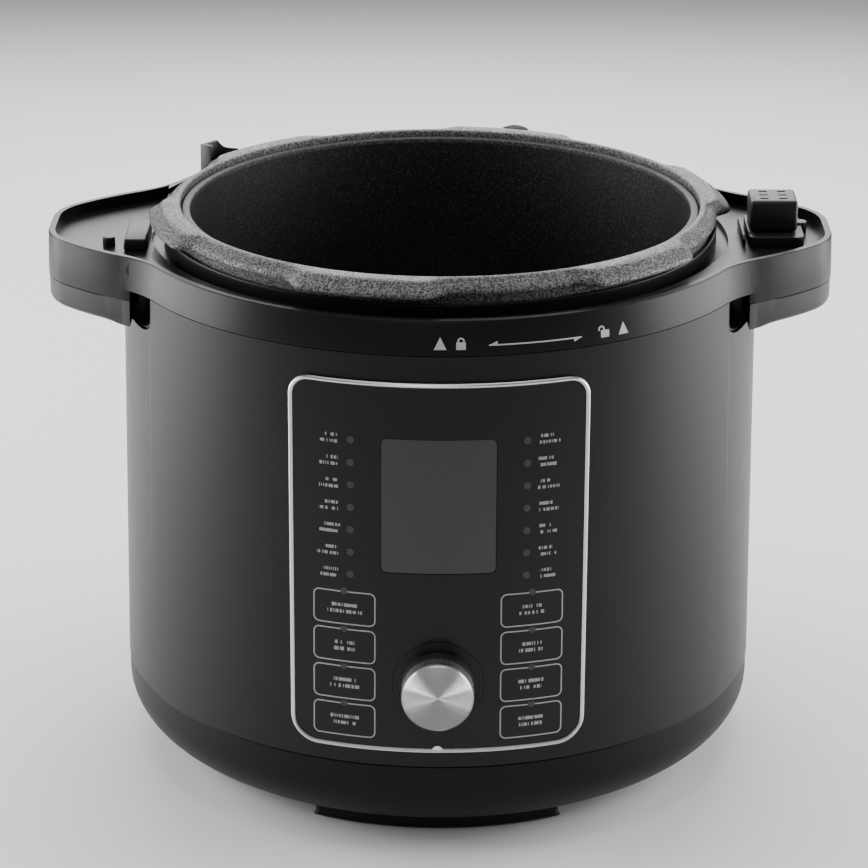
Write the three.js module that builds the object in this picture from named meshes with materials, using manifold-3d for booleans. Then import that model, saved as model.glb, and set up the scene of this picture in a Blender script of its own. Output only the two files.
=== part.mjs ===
// An electric pressure cooker without its lid, in millimetres, +Z up.
// The origin is on the floor, under the middle of the pot, and the control panel faces -Y.
// Every piece is a closed solid in a mesh of its own.
import * as THREE from "three";
import { mergeVertices } from "three/addons/utils/BufferGeometryUtils.js";
import Module from "manifold-3d";

const wasm = await Module();
wasm.setup();

// ---- Driving dimensions ----
// Pots
const POT_R = 108.2; // inner pot, outside of its wall
const POT_WALL = 1.6;
const POT_DEPTH = 173.9; // inside, floor to rim
const POT_CORNER = 16;
const POT_RIM_REACH = 2; // rolled rim beyond the wall
const POT_BASE = 2.5;
const LOCK_GAP = 2.4; // inner pot's wall to the outer pot's bore
const LOCK_NECK = 4.6; // outer pot's wall at the neck
const LOCK_WALL = 3;
const LOCK_RISE = 2.7; // lock rim above the inner pot's rim
const LIP_WIDTH = 2.2; // bright bead round the mouth
const LUG_COUNT = 6;
const LUG_SPAN = 29; // degrees
const LUG_TURN = -15; // degrees, middle of the first lug from the front
const LUG_REACH = 8.8; // beyond the neck
const FLANGE_REACH = 2.4; // between the lugs
const FLANGE_T = 6.2;

// Stack of heights
const FOOT_H = 4.5;
const FLOOR_T = 2.5;
const ELECTRONICS_H = 42; // clear height for the boards and the heater
const PLATE_T = 14;
const BASE_H = 35.5; // base cover
const RING_H = 14.1; // plastic ring, bottom to top edge
const RIM_RISE = 11.4; // lock rim above the ring
const SEAM = 0.3; // gap between touching pieces

// Widths
const JACKET = 19.8; // neck of the outer pot to the body's outside
const BODY_FLARE = 2.2; // how much wider the wall is at its foot
const SHEET_T = 1.2;
const PLASTIC_T = 2.5;
const BASE_CURVE_R = 37; // radial reach of the base cover's rounded edge
const BASE_CURVE_H = 26.5;

// Handles
const HANDLE_REACH = 31.8; // beyond the body
const HANDLE_ROOT_HALF = 50; // half width where the grip begins
const HANDLE_TIP_HALF = 27.5;
const HANDLE_ROOT_ANGLE = 60; // degrees from the front where the ring leaves its circle
const HANDLE_SKIRT = 4.4; // grip wall below the ring's lower edge
const GRIP_H = 11.1; // lower cover of a grip
const TRAY_DEPTH = 5;
const TRAY_WALL = 3.2;
const GRIP_SHARE = 0.7547; // the grip bar's width as a share of its reach

// Control panel, on the front of the wall
const PANEL_W = 120.4;
const PANEL_MARGIN_LOW = 6.9;
const PANEL_MARGIN_TOP = 10.6;
const PANEL_CORNER = 9;
const FRAME_W = 2.1;
const WINDOW_W = 46;
const WINDOW_SHARE = 0.357; // of the panel's height
const WINDOW_DROP_SHARE = 0.149; // panel's top edge to the window's
const KNOB_R = 14.65;
const KNOB_LIFT = 15; // front face above the wall
const KNOB_RISE_SHARE = 0.191; // axis above the panel's lower edge
const KNOB_WELL = 3.9; // dished ring round the knob
const SHAFT_R = 3;

// Feet
const FOOT_INSET = 20; // feet inside the body's outside
const FOOT_W = 22;
const FOOT_ARC = 54; // degrees
const PAD_T = 1.5;
const PAD_INSET = 4;

// Sensor and lid switch
const SENSOR_R = 13.5;
const SENSOR_GAP = 2.5;
const SENSOR_TRAVEL = 3;
const POST_R = 2.8;
const POST_RISE = 4;
const POST_TRAVEL = 3;
const RUN = 0.5; // running clearance of the sliding pieces

// Fineness of the round pieces
const ROUND = 40;
const SMALL_ROUND = 20;

// ---- Heights and radii that follow ----
const FLOOR_TOP = FOOT_H + FLOOR_T;
const PLATE_BOTTOM = FLOOR_TOP + ELECTRONICS_H;
const PLATE_TOP = PLATE_BOTTOM + PLATE_T;
const POT_BOTTOM = PLATE_TOP + SEAM;
const POT_TOP = POT_BOTTOM + POT_BASE + POT_DEPTH;
const RIM_TOP = POT_TOP + LOCK_RISE;
const RING_TOP = RIM_TOP - RIM_RISE;
const RING_BOTTOM = RING_TOP - RING_H;
const BASE_TOP = FOOT_H + BASE_H;
const BODY_BOTTOM = BASE_TOP + SEAM;
const BODY_TOP = RING_BOTTOM - SEAM;
const BORE_R = POT_R + LOCK_GAP;
const NECK_R = BORE_R + LOCK_NECK;
const BODY_R = NECK_R + JACKET;
const BASE_R = BODY_R + BODY_FLARE - SEAM;
const LUG_R = NECK_R + LUG_REACH;
const SHIELD_R = NECK_R + 1.4;
const COLLAR_R = NECK_R + 1;
const CHANNEL_R = COLLAR_R + 6.8;
const FLANGE_BOTTOM = RIM_TOP - FLANGE_T;
const TRAY_FLOOR = RING_TOP - TRAY_DEPTH;
const SKIRT_BOTTOM = RING_BOTTOM - HANDLE_SKIRT;
const GRIP_TOP = SKIRT_BOTTOM - SEAM;
const GRIP_BOTTOM = GRIP_TOP - GRIP_H;
const TIP_X = BODY_R + HANDLE_REACH;
const GRIP_INNER_X = TIP_X - HANDLE_REACH * GRIP_SHARE;
const POCKET_BACK_X = SHIELD_R + 1.5;
const POCKET_X = POCKET_BACK_X + SHEET_T;
const PANEL_BOTTOM = BODY_BOTTOM + PANEL_MARGIN_LOW;
const PANEL_TOP = BODY_TOP - PANEL_MARGIN_TOP;
const PANEL_H = PANEL_TOP - PANEL_BOTTOM;
const WINDOW_TOP = PANEL_TOP - PANEL_H * WINDOW_DROP_SHARE;
const WINDOW_LOW = WINDOW_TOP - PANEL_H * WINDOW_SHARE;
const KNOB_Z = PANEL_BOTTOM + PANEL_H * KNOB_RISE_SHARE;
const PLATE_R = POT_R - POT_CORNER - 4.2;
const FOOT_R = BODY_R - FOOT_INSET;
const FLAT_R = BASE_R - BASE_CURVE_R; // flat underside of the base
const SCREW_CIRCLE = FLAT_R - 25;
const TRAY_UNDER = TRAY_FLOOR - PLASTIC_T;
const BOARD_Y = SHIELD_R + 4.5; // back of the control board

// ---- Finishes ----
const finish = (color, roughness, metalness = 0) =>
  new THREE.MeshStandardMaterial({ color, roughness, metalness });
const SATIN_BLACK = finish(0x2a2a2b, 0.45);
const PLASTIC_BLACK = finish(0x353536, 0.5);
const GLOSS_BLACK = finish(0x0c0c0e, 0.12);
const RUBBER = finish(0x151515, 0.85);
const CAST = finish(0x8c8c8c, 0.6, 0.8);
const NONSTICK = finish(0x161616, 0.5);
const ALUMINIUM = finish(0xb8b9ba, 0.35, 1);
const STEEL = finish(0x9a9c9e, 0.4, 1);
const BOARD_GREEN = finish(0x1f5a37, 0.6);
const PART_GREY = finish(0x3a3d42, 0.5);
const LENS_GREY = finish(0x4a4a4c, 0.15);

// ---- Solids ----
function solid(geometry) {
  const plain = geometry.index ? geometry.toNonIndexed() : geometry.clone();
  plain.deleteAttribute("normal");
  plain.deleteAttribute("uv");
  const merged = mergeVertices(plain, 1e-4);
  return new wasm.Manifold(
    new wasm.Mesh({
      numProp: 3,
      vertProperties: new Float32Array(merged.attributes.position.array),
      triVerts: new Uint32Array(merged.index.array),
    }),
  );
}

function geometryOf(made) {
  const mesh = made.getMesh();
  const geometry = new THREE.BufferGeometry();
  const points = mesh.vertProperties;
  geometry.setAttribute("position", new THREE.BufferAttribute(points, 3));
  geometry.setIndex(new THREE.BufferAttribute(mesh.triVerts, 1));
  return geometry;
}

// A closed [radius, height] outline turned about +Z, its points going round counter-clockwise.
function turned(profile, segments = ROUND) {
  const points = profile.map(([r, z]) => new THREE.Vector2(r, z));
  const open = profile[0][0] === 0 && profile.at(-1)[0] === 0;
  if (!open) points.push(points[0].clone());
  const lathe = new THREE.LatheGeometry(points, segments);
  return solid(lathe.rotateX(Math.PI / 2));
}

const shapeOf = (points) => new THREE.Shape(points.map(([x, y]) => new THREE.Vector2(x, y)));

// An outline in the XY plane, raised from z0 to z1.
function raised(shape, z0, z1, curveSegments = 4) {
  const options = { depth: z1 - z0, bevelEnabled: false, curveSegments };
  return solid(new THREE.ExtrudeGeometry(shape, options).translate(0, 0, z0));
}

// An outline drawn as seen from the front, x to the right and z up, between depths y0 and y1.
function fronted(shape, y0, y1, curveSegments = 5) {
  const options = { depth: y1 - y0, bevelEnabled: false, curveSegments };
  const geometry = new THREE.ExtrudeGeometry(shape, options);
  return solid(geometry.rotateX(Math.PI / 2).translate(0, y1, 0));
}

function block(x0, x1, y0, y1, z0, z1) {
  const geometry = new THREE.BoxGeometry(x1 - x0, y1 - y0, z1 - z0);
  return solid(geometry.translate((x0 + x1) / 2, (y0 + y1) / 2, (z0 + z1) / 2));
}

function disc(radius, z0, z1, segments = SMALL_ROUND, topRadius = radius) {
  return turned([[0, z0], [radius, z0], [topRadius, z1], [0, z1]], segments);
}

// A round bar along -Y whose axis is at height z.
function frontDisc(radius, y0, y1, z, segments = SMALL_ROUND, frontRadius = radius) {
  const bar = disc(radius, -y1, -y0, segments, frontRadius);
  return bar.rotate([90, 0, 0]).translate([0, 0, z]);
}

function annulus(inner, outer, z0, z1, segments = ROUND) {
  return turned([[inner, z0], [outer, z0], [outer, z1], [inner, z1]], segments);
}

function roundedBox(x0, z0, x1, z1, r) {
  const shape = new THREE.Shape();
  shape.moveTo(x0 + r, z0);
  shape.lineTo(x1 - r, z0);
  shape.absarc(x1 - r, z0 + r, r, -Math.PI / 2, 0);
  shape.lineTo(x1, z1 - r);
  shape.absarc(x1 - r, z1 - r, r, 0, Math.PI / 2);
  shape.lineTo(x0 + r, z1);
  shape.absarc(x0 + r, z1 - r, r, Math.PI / 2, Math.PI);
  shape.lineTo(x0, z0 + r);
  shape.absarc(x0 + r, z0 + r, r, Math.PI, Math.PI * 1.5);
  return shape;
}

// The wall's outside radius at a height.
function wallR(z) {
  const down = (BODY_TOP - z) / (BODY_TOP - BODY_BOTTOM);
  return BODY_R + BODY_FLARE * down;
}

// A conical sleeve that follows the wall, between two offsets from its outside.
function sleeve(inner, outer, z0, z1) {
  return turned([
    [wallR(z0) + inner, z0],
    [wallR(z0) + outer, z0],
    [wallR(z1) + outer, z1],
    [wallR(z1) + inner, z1],
  ]);
}

// The part of that sleeve inside an outline on the front.
function onWall(shape, inner, outer) {
  const layer = sleeve(inner, outer, PANEL_BOTTOM - 8, PANEL_TOP + 8);
  return layer.intersect(fronted(shape, -BODY_R - 30, -BODY_R / 2));
}

// A wedge of the space round the axis; angles in degrees from the front, towards +X.
function wedge(middle, span, radius, z0, z1) {
  const points = [[0, 0]];
  const steps = Math.max(2, Math.ceil(span / 10));
  for (let i = 0; i <= steps; i += 1) {
    const turn = THREE.MathUtils.degToRad(middle - span / 2 + (span * i) / steps);
    points.push([radius * Math.sin(turn), -radius * Math.cos(turn)]);
  }
  return raised(shapeOf(points), z0, z1);
}

// A point at an angle from the front and a radius.
function polar(degrees, radius) {
  const turn = THREE.MathUtils.degToRad(degrees);
  return [radius * Math.sin(turn), -radius * Math.cos(turn)];
}

// ---- The scene ----
const cooker = new THREE.Group();

function add(name, made, material) {
  const mesh = new THREE.Mesh(geometryOf(made), material);
  mesh.name = name;
  cooker.add(mesh);
}

// ---- Base ----
function baseProfile(inset) {
  const steps = 4;
  const points = [];
  const curveR = BASE_CURVE_R - inset;
  const curveH = BASE_CURVE_H - inset;
  for (let i = 0; i <= steps; i += 1) {
    const turn = (Math.PI / 2) * (1 - i / steps);
    const r = FLAT_R + curveR * Math.cos(turn);
    points.push([r, FOOT_H + BASE_CURVE_H - curveH * Math.sin(turn)]);
  }
  points.push([BASE_R - inset, BASE_TOP]);
  return points;
}

const INLET_HALF = 13.7;
const INLET_LOW = FOOT_H + 11.5;
const INLET_HIGH = INLET_LOW + 20;
const INLET_DEPTH = 26;

function baseCover() {
  const outer = baseProfile(0);
  const inner = baseProfile(FLOOR_T).reverse();
  let cover = turned([[0, FOOT_H], ...outer, ...inner, [0, FLOOR_TOP]]);
  const slots = 8;
  for (let i = 0; i < slots; i += 1) {
    const slot = block(-2, 2, -58, -32, FOOT_H - 1, FLOOR_TOP + 1);
    cover = cover.subtract(slot.rotate([0, 0, (360 / slots) * (i + 0.5)]));
  }
  const hole = INLET_HALF + SEAM;
  const gap = block(-hole, hole, BASE_R - 30, BASE_R + 5, INLET_LOW - SEAM, INLET_HIGH + SEAM);
  cover = cover.subtract(gap);
  for (const turn of SCREW_TURNS) {
    const [x, y] = polar(turn, SCREW_CIRCLE);
    cover = cover.subtract(screwSeat().translate([x, y, FOOT_H]));
  }
  return cover;
}

// Screws stand head down; a seat takes the head and lets the shank through.
const SCREW_TURNS = [45, 135, 225, 315];
const HEAD_R = 3.6;
const HEAD_T = 1.2;
const SHANK_R = 1.7;
const BOSS_R = HEAD_R + 1;

function screw(length) {
  const shank = disc(SHANK_R, HEAD_T - 0.2, length, 10);
  return disc(HEAD_R, 0, HEAD_T, 12).add(shank).subtract(block(-2.4, 2.4, -0.5, 0.5, -1, 0.6));
}

function screwSeat() {
  const well = disc(HEAD_R + SEAM, -1, HEAD_T + SEAM, 12);
  return well.add(disc(SHANK_R + SEAM, 0, 30, 10));
}

// A foot is an arc under the base's rounded edge, with a rubber pad let into it.
function footArc(inner, outer, span, z0, z1) {
  const ring = annulus(inner, outer, z0, z1);
  return ring.intersect(wedge(0, span, outer + 20, z0 - 1, z1 + 1));
}

const shiftDown = (points) => points.map(([r, z]) => [r + SEAM, z - SEAM]);

function addFeet() {
  const names = ["front", "right", "rear", "left"];
  const inner = FOOT_R - FOOT_W;
  const top = FOOT_H + 9;
  const shadow = turned([[0, FOOT_H - SEAM], ...shiftDown(baseProfile(0)), [0, BASE_TOP]]);
  const body = footArc(inner, FOOT_R, FOOT_ARC, PAD_T - 0.9, top).subtract(shadow);
  const padSpan = FOOT_ARC - 6;
  const roomIn = inner + PAD_INSET - SEAM;
  const room = footArc(roomIn, FOOT_R - PAD_INSET + SEAM, padSpan + 0.6, -1, PAD_T + SEAM);
  const foot = body.subtract(room);
  const pad = footArc(inner + PAD_INSET, FOOT_R - PAD_INSET, padSpan, 0, PAD_T);
  names.forEach((name, i) => {
    add(`foot_${name}`, foot.rotate([0, 0, 90 * i]), PLASTIC_BLACK);
    add(`foot_pad_${name}`, pad.rotate([0, 0, 90 * i]), RUBBER);
  });
}

function powerInlet() {
  const back = BASE_R + 0.8 - INLET_DEPTH;
  const face = BASE_R + 0.8;
  const body = block(-INLET_HALF, INLET_HALF, back, face, INLET_LOW, INLET_HIGH);
  const cavity = block(-12, 12, face - 17, face + 1, INLET_LOW + 2.2, INLET_HIGH - 2.2);
  let inlet = body.subtract(cavity);
  const pins = [[-7, 9], [0, 12], [7, 9]];
  for (const [x, up] of pins) {
    const blade = block(x - 1, x + 1, face - 17.5, face - 3, INLET_LOW + up - 2, INLET_LOW + up + 2);
    inlet = inlet.add(blade);
  }
  return inlet;
}

// ---- Wall, shield and finger pockets ----
function panelOutline(inset) {
  const half = PANEL_W / 2 - inset;
  const radius = PANEL_CORNER - Math.min(inset, PANEL_CORNER / 2);
  return roundedBox(-half, PANEL_BOTTOM + inset, half, PANEL_TOP - inset, radius);
}

// The finger room behind a grip, seen from the front: open at the top, round at its foot.
function pocketOutline(inset) {
  const low = GRIP_BOTTOM - inset;
  const inner = POCKET_X - inset;
  const round = 5;
  const shape = new THREE.Shape();
  shape.moveTo(inner + round, low);
  shape.lineTo(TIP_X, low);
  shape.lineTo(TIP_X, RING_BOTTOM + 2);
  shape.lineTo(inner, RING_BOTTOM + 2);
  shape.lineTo(inner, low + round);
  shape.absarc(inner + round, low + round, round, Math.PI, Math.PI * 1.5);
  return shape;
}

function pocketHalfWidth(inset) {
  return Math.sqrt(BODY_R ** 2 - POCKET_X ** 2) + inset;
}

function pocketRoom(inset) {
  const half = pocketHalfWidth(inset);
  return fronted(pocketOutline(inset), -half, half);
}

function fingerPocket() {
  const skin = disc(BODY_R - SHEET_T - SEAM, GRIP_BOTTOM - 10, BODY_TOP, ROUND);
  return pocketRoom(SHEET_T).subtract(pocketRoom(0)).intersect(skin);
}

function bodyShell() {
  const opening = panelOutline(FRAME_W + 0.6);
  const pocket = pocketRoom(SEAM);
  return sleeve(-SHEET_T, 0, BODY_BOTTOM, BODY_TOP)
    .subtract(fronted(opening, -BODY_R - 30, -BODY_R / 2))
    .subtract(pocket)
    .subtract(pocket.mirror([1, 0, 0]));
}

const ELEMENT_R = 3.6; // heating tube
const SHIELD_FLOOR = PLATE_BOTTOM - 2 * ELEMENT_R - 4;

function heatShield() {
  const top = TRAY_UNDER - 2 - SEAM;
  const hole = SENSOR_R + SENSOR_GAP + 6;
  const sheet = 0.8;
  let shield = turned([
    [hole, SHIELD_FLOOR - sheet],
    [SHIELD_R, SHIELD_FLOOR - sheet],
    [SHIELD_R, top],
    [SHIELD_R - sheet, top],
    [SHIELD_R - sheet, SHIELD_FLOOR],
    [hole, SHIELD_FLOOR],
  ]);
  for (const turn of SCREW_TURNS) {
    const [x, y] = polar(turn, SCREW_CIRCLE);
    const leg = disc(BOSS_R, FLOOR_TOP + SEAM, SHIELD_FLOOR, 12);
    const bore = disc(SHANK_R + SEAM, FLOOR_TOP - 1, FLOOR_TOP + 12, 10);
    shield = shield.add(leg.subtract(bore).translate([x, y, 0]));
  }
  return shield;
}

// ---- Pots ----
function outerPot() {
  const lip = BORE_R + LIP_WIDTH;
  const edge = NECK_R + FLANGE_REACH;
  const step = TRAY_FLOOR - 3;
  const wallOut = BORE_R + LOCK_WALL;
  const inside = POT_BOTTOM - 3;
  const pot = turned([
    [PLATE_R + 2, inside - LOCK_WALL],
    [wallOut - POT_CORNER, inside - LOCK_WALL],
    [wallOut - 4, inside + 5 - LOCK_WALL],
    [wallOut, inside + POT_CORNER - LOCK_WALL],
    [wallOut, step - 4],
    [NECK_R, step],
    [NECK_R, FLANGE_BOTTOM],
    [edge, FLANGE_BOTTOM + 0.4],
    [edge - 0.6, RIM_TOP - 3.6],
    [lip, RIM_TOP],
    [BORE_R + 0.3, RIM_TOP],
    [BORE_R, RIM_TOP - 0.6],
    [BORE_R, inside + POT_CORNER],
    [BORE_R - 4, inside + 5],
    [BORE_R - POT_CORNER, inside],
    [PLATE_R + 2, inside],
  ]);
  const lugRing = turned([
    [NECK_R - 2, FLANGE_BOTTOM],
    [LUG_R - 0.6, FLANGE_BOTTOM],
    [LUG_R, FLANGE_BOTTOM + 0.9],
    [LUG_R - 5, RIM_TOP - 1.4],
    [LUG_R - 6, RIM_TOP - 0.3],
    [NECK_R - 2, RIM_TOP - 0.3],
  ]);
  let made = pot;
  for (let i = 0; i < LUG_COUNT; i += 1) {
    const middle = LUG_TURN + (360 / LUG_COUNT) * i;
    made = made.add(lugRing.intersect(wedge(middle, LUG_SPAN, LUG_R + 20, 0, RIM_TOP + 5)));
  }
  return made;
}

function innerPot() {
  const inside = POT_R - POT_WALL;
  const floor = POT_BOTTOM + POT_BASE;
  const rim = POT_R + POT_RIM_REACH;
  return turned([
    [0, POT_BOTTOM],
    [POT_R - POT_CORNER, POT_BOTTOM],
    [POT_R - 4, POT_BOTTOM + 5],
    [POT_R, POT_BOTTOM + POT_CORNER],
    [POT_R, POT_TOP - 3],
    [rim, POT_TOP - 2.4],
    [rim, POT_TOP - 0.8],
    [rim - 0.9, POT_TOP],
    [inside + 0.6, POT_TOP],
    [inside, POT_TOP - 0.8],
    [inside, floor + POT_CORNER],
    [inside - 4, floor + 5],
    [inside - POT_CORNER, floor],
    [0, floor],
  ]);
}

// ---- Heater, sensor and fuse ----
function heatingPlate() {
  const bore = SENSOR_R + SENSOR_GAP;
  let plate = turned([
    [bore, PLATE_BOTTOM],
    [PLATE_R, PLATE_BOTTOM],
    [PLATE_R, PLATE_TOP - 3],
    [PLATE_R - 4, PLATE_TOP],
    [bore, PLATE_TOP],
  ]);
  const legs = 3;
  for (let i = 0; i < legs; i += 1) {
    const leg = block(-6, 6, -PLATE_R + 3, -PLATE_R + 6, SHIELD_FLOOR + SEAM, PLATE_BOTTOM + 1);
    plate = plate.add(leg.rotate([0, 0, (360 / legs) * (i + 0.5)]));
  }
  return plate;
}

function heaterElement() {
  const middle = PLATE_R * 0.7;
  const z = PLATE_BOTTOM - SEAM - ELEMENT_R;
  const points = [];
  const steps = 24;
  for (let i = 0; i <= steps; i += 1) {
    const [x, y] = polar(25 + (310 * i) / steps, middle);
    points.push(new THREE.Vector3(x, y, z));
  }
  const path = new THREE.CatmullRomCurve3(points);
  const section = new THREE.Shape();
  section.absarc(0, 0, ELEMENT_R, 0, Math.PI * 2);
  const options = { extrudePath: path, steps: 28, bevelEnabled: false, curveSegments: 4 };
  return solid(new THREE.ExtrudeGeometry(section, options));
}

const CAP_H = 8;
const STEM_R = 3;
const SENSOR_TOP = POT_BOTTOM - SEAM;
const STEM_BOTTOM = SENSOR_TOP - CAP_H - 18;
const HOLDER_TOP = STEM_BOTTOM + 6;
const HOLDER_BOTTOM = STEM_BOTTOM - SENSOR_TRAVEL - 3;

function sensorCap() {
  const low = SENSOR_TOP - CAP_H;
  return turned([
    [0, STEM_BOTTOM],
    [STEM_R, STEM_BOTTOM],
    [STEM_R, SENSOR_TOP - 2],
    [SENSOR_R - 1.2, SENSOR_TOP - 2],
    [SENSOR_R - 1.2, low],
    [SENSOR_R, low],
    [SENSOR_R, SENSOR_TOP - 1.5],
    [SENSOR_R - 1.5, SENSOR_TOP],
    [0, SENSOR_TOP],
  ], SMALL_ROUND);
}

function sensorHolder() {
  const flangeTop = SHIELD_FLOOR - 0.8 - SEAM;
  const flange = SENSOR_R + SENSOR_GAP + 10;
  const bore = STEM_R + RUN;
  const tube = bore + 2.5;
  return turned([
    [0, HOLDER_BOTTOM],
    [tube, HOLDER_BOTTOM],
    [tube, flangeTop - 1.2],
    [flange, flangeTop - 1.2],
    [flange, flangeTop],
    [tube, flangeTop],
    [tube, HOLDER_TOP],
    [bore, HOLDER_TOP],
    [bore, HOLDER_BOTTOM + 1.5],
    [0, HOLDER_BOTTOM + 1.5],
  ], SMALL_ROUND);
}

// A coil spring about +Z.
function spring(coilR, wireR, z0, z1, turns) {
  const points = [];
  const steps = turns * 8;
  for (let i = 0; i <= steps; i += 1) {
    const turn = (Math.PI * 2 * i) / 8;
    const z = z0 + ((z1 - z0) * i) / steps;
    points.push(new THREE.Vector3(coilR * Math.cos(turn), coilR * Math.sin(turn), z));
  }
  const section = new THREE.Shape();
  section.absarc(0, 0, wireR, 0, Math.PI * 2);
  const path = new THREE.CatmullRomCurve3(points);
  const options = { extrudePath: path, steps: turns * 9, bevelEnabled: false, curveSegments: 3 };
  return solid(new THREE.ExtrudeGeometry(section, options));
}

function addHeater() {
  add("heating_plate", heatingPlate(), ALUMINIUM);
  add("heater_element", heaterElement(), STEEL);
  add("sensor_cap", sensorCap(), ALUMINIUM);
  add("sensor_holder", sensorHolder(), STEEL);
  const wire = 0.6;
  const low = HOLDER_TOP + wire + SEAM;
  const high = SENSOR_TOP - 2 - wire - SEAM;
  add("sensor_spring", spring(STEM_R + 2.2, wire, low, high, 4), STEEL);
  const fuseR = 3;
  const fuse = disc(fuseR, 0, 22, 12).rotate([0, 90, 0]);
  add("thermal_fuse", fuse.translate([-11, 38, SHIELD_FLOOR - 0.8 - SEAM - fuseR]), STEEL);
}

// ---- Boards ----
function addPowerBoard() {
  const low = FLOOR_TOP + 5;
  const top = low + 1.6;
  const half = SCREW_CIRCLE * 0.62;
  const far = SCREW_CIRCLE + 4;
  let board = block(-half, half, 16, far, low, top);
  for (const x of [-half + 4, half - 4]) {
    for (const y of [20, far - 4]) {
      board = board.add(disc(2.6, FLOOR_TOP + SEAM, low + 0.2, 10).translate([x, y, 0]));
    }
  }
  const on = top + SEAM;
  add("power_board", board, BOARD_GREEN);
  add("power_relay", block(-half + 5, -half + 21, 26, 42, on, on + 14), PART_GREY);
  add("power_transformer", block(-8, 14, 28, 48, on, on + 14), PART_GREY);
  const drum = disc(6, on, on + 14, 14);
  add("power_capacitor", drum.translate([half - 9, 38, 0]), PART_GREY);
  const sensor = block(46, 60, -8, 8, FLOOR_TOP + SEAM, SHIELD_FLOOR - 0.8 - SEAM);
  add("pressure_switch", sensor, PART_GREY);
}

const BOARD_T = 1.6;
const BOARD_FRONT = BOARD_Y + BOARD_T;

// How far the wall falls back at a distance from its middle line.
const sag = (half) => BODY_R - Math.sqrt(BODY_R ** 2 - half ** 2);

function addBoards() {
  const half = Math.sqrt((BODY_R - PLASTIC_T - 1.5) ** 2 - BOARD_FRONT ** 2);
  const board = block(-half, half, -BOARD_FRONT, -BOARD_Y, PANEL_BOTTOM + 4, PANEL_TOP - 8);
  add("control_board", board, BOARD_GREEN);
  const glass = WINDOW_W / 2;
  const face = wallR(WINDOW_TOP) - PLASTIC_T - 0.5 - sag(glass);
  const display = block(-glass, glass, -face, -BOARD_FRONT - SEAM, WINDOW_LOW, WINDOW_TOP);
  add("display_module", display, PART_GREY);
}

const frontHole = (shape) => fronted(shape, -BODY_R - 30, -BODY_R / 2);
const frontBar = (radius, segments) => frontDisc(radius, -BODY_R - 30, -BODY_R / 2, KNOB_Z, segments);

function windowOutline(inset) {
  const half = WINDOW_W / 2 - inset;
  return roundedBox(-half, WINDOW_LOW + inset, half, WINDOW_TOP - inset, 2.2 - inset * 0.4);
}

// The carrier fills the wall's opening; the overlay, its frame and the lens lie on it.
const CARRIER_OUT = 0.2;
const SHEET_IN = CARRIER_OUT + SEAM;
const SHEET_OUT = SHEET_IN + 0.9;
const WELL_R = KNOB_R + KNOB_WELL;

function addPanel() {
  const carrier = onWall(panelOutline(FRAME_W + 0.9), -PLASTIC_T, CARRIER_OUT)
    .subtract(frontHole(windowOutline(2)))
    .subtract(frontBar(SHAFT_R + 3.5, 16));
  add("panel_carrier", carrier, PLASTIC_BLACK);
  const sheet = onWall(panelOutline(FRAME_W + SEAM), SHEET_IN, SHEET_OUT)
    .subtract(frontHole(windowOutline(-SEAM)))
    .subtract(frontBar(WELL_R + SEAM, 24));
  add("panel_overlay", sheet, GLOSS_BLACK);
  const trim = onWall(panelOutline(0), SHEET_IN - 0.2, SHEET_OUT + 0.4)
    .subtract(frontHole(panelOutline(FRAME_W)));
  add("panel_frame", trim, ALUMINIUM);
  add("display_lens", onWall(windowOutline(0), SHEET_IN, SHEET_OUT - 0.1), LENS_GREY);
  const well = onWall(panelOutline(FRAME_W + 1), SHEET_IN, SHEET_OUT - 0.2)
    .intersect(frontBar(WELL_R, 24))
    .subtract(frontBar(SHAFT_R + 4, 16));
  add("knob_well", well, PLASTIC_BLACK);
}

function addKnob() {
  const wall = wallR(KNOB_Z);
  const face = wall + KNOB_LIFT;
  const foot = wall + SHEET_OUT + 0.7;
  const encoderFront = wall - PLASTIC_T - 1;
  const shaftBack = BOARD_FRONT + 3;
  const shaftFront = face - 5;
  const body = block(-6.5, 6.5, -encoderFront, -BOARD_FRONT - SEAM, KNOB_Z - 6.5, KNOB_Z + 6.5)
    .subtract(frontDisc(SHAFT_R + RUN, -encoderFront - 1, -shaftBack + 1, KNOB_Z, 16));
  add("encoder_body", body, PART_GREY);
  add("encoder_shaft", frontDisc(SHAFT_R, -shaftFront, -shaftBack, KNOB_Z, 16), STEEL);
  const coreR = KNOB_R - 1.3;
  const core = frontDisc(coreR, -face + 1.6, -foot - 0.6, KNOB_Z, 24)
    .subtract(frontDisc(SHAFT_R + SEAM, -shaftFront - SEAM, -foot + 5, KNOB_Z, 16))
    .subtract(frontDisc(coreR - 2, -foot - 5, -foot + 5, KNOB_Z, 20));
  add("knob_core", core, PLASTIC_BLACK);
  const bevel = 1.2;
  const inner = coreR + SEAM;
  const cap = turned([
    [0, face - 1.3],
    [inner, face - 1.3],
    [inner, foot],
    [KNOB_R, foot],
    [KNOB_R, face - bevel],
    [KNOB_R - bevel, face],
    [0, face],
  ], 24);
  add("knob_cap", cap.rotate([90, 0, 0]).translate([0, 0, KNOB_Z]), ALUMINIUM);
}

// ---- Top ring and grips ----
// One grip's side of the ring's outline, from the front round to the back, on the +X side.
function gripSide(inset) {
  const root = polar(HANDLE_ROOT_ANGLE, BODY_R - inset);
  const flank = [BODY_R - 2 - inset * 0.4, -HANDLE_ROOT_HALF + inset];
  const shoulder = [TIP_X - 7 - inset * 0.75, -HANDLE_TIP_HALF + inset * 0.75];
  const tip = [TIP_X - inset, -10];
  const hollow = [BODY_R - 12.5 - inset * 0.5, -HANDLE_ROOT_HALF - 7 + inset];
  const belly = [(flank[0] + shoulder[0]) / 2 + 1.5, (flank[1] + shoulder[1]) / 2 - 2];
  const corner = [TIP_X - inset, -HANDLE_TIP_HALF + 7 + inset * 0.5];
  return { root, hollow, flank, belly, shoulder, corner, tip };
}

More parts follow.
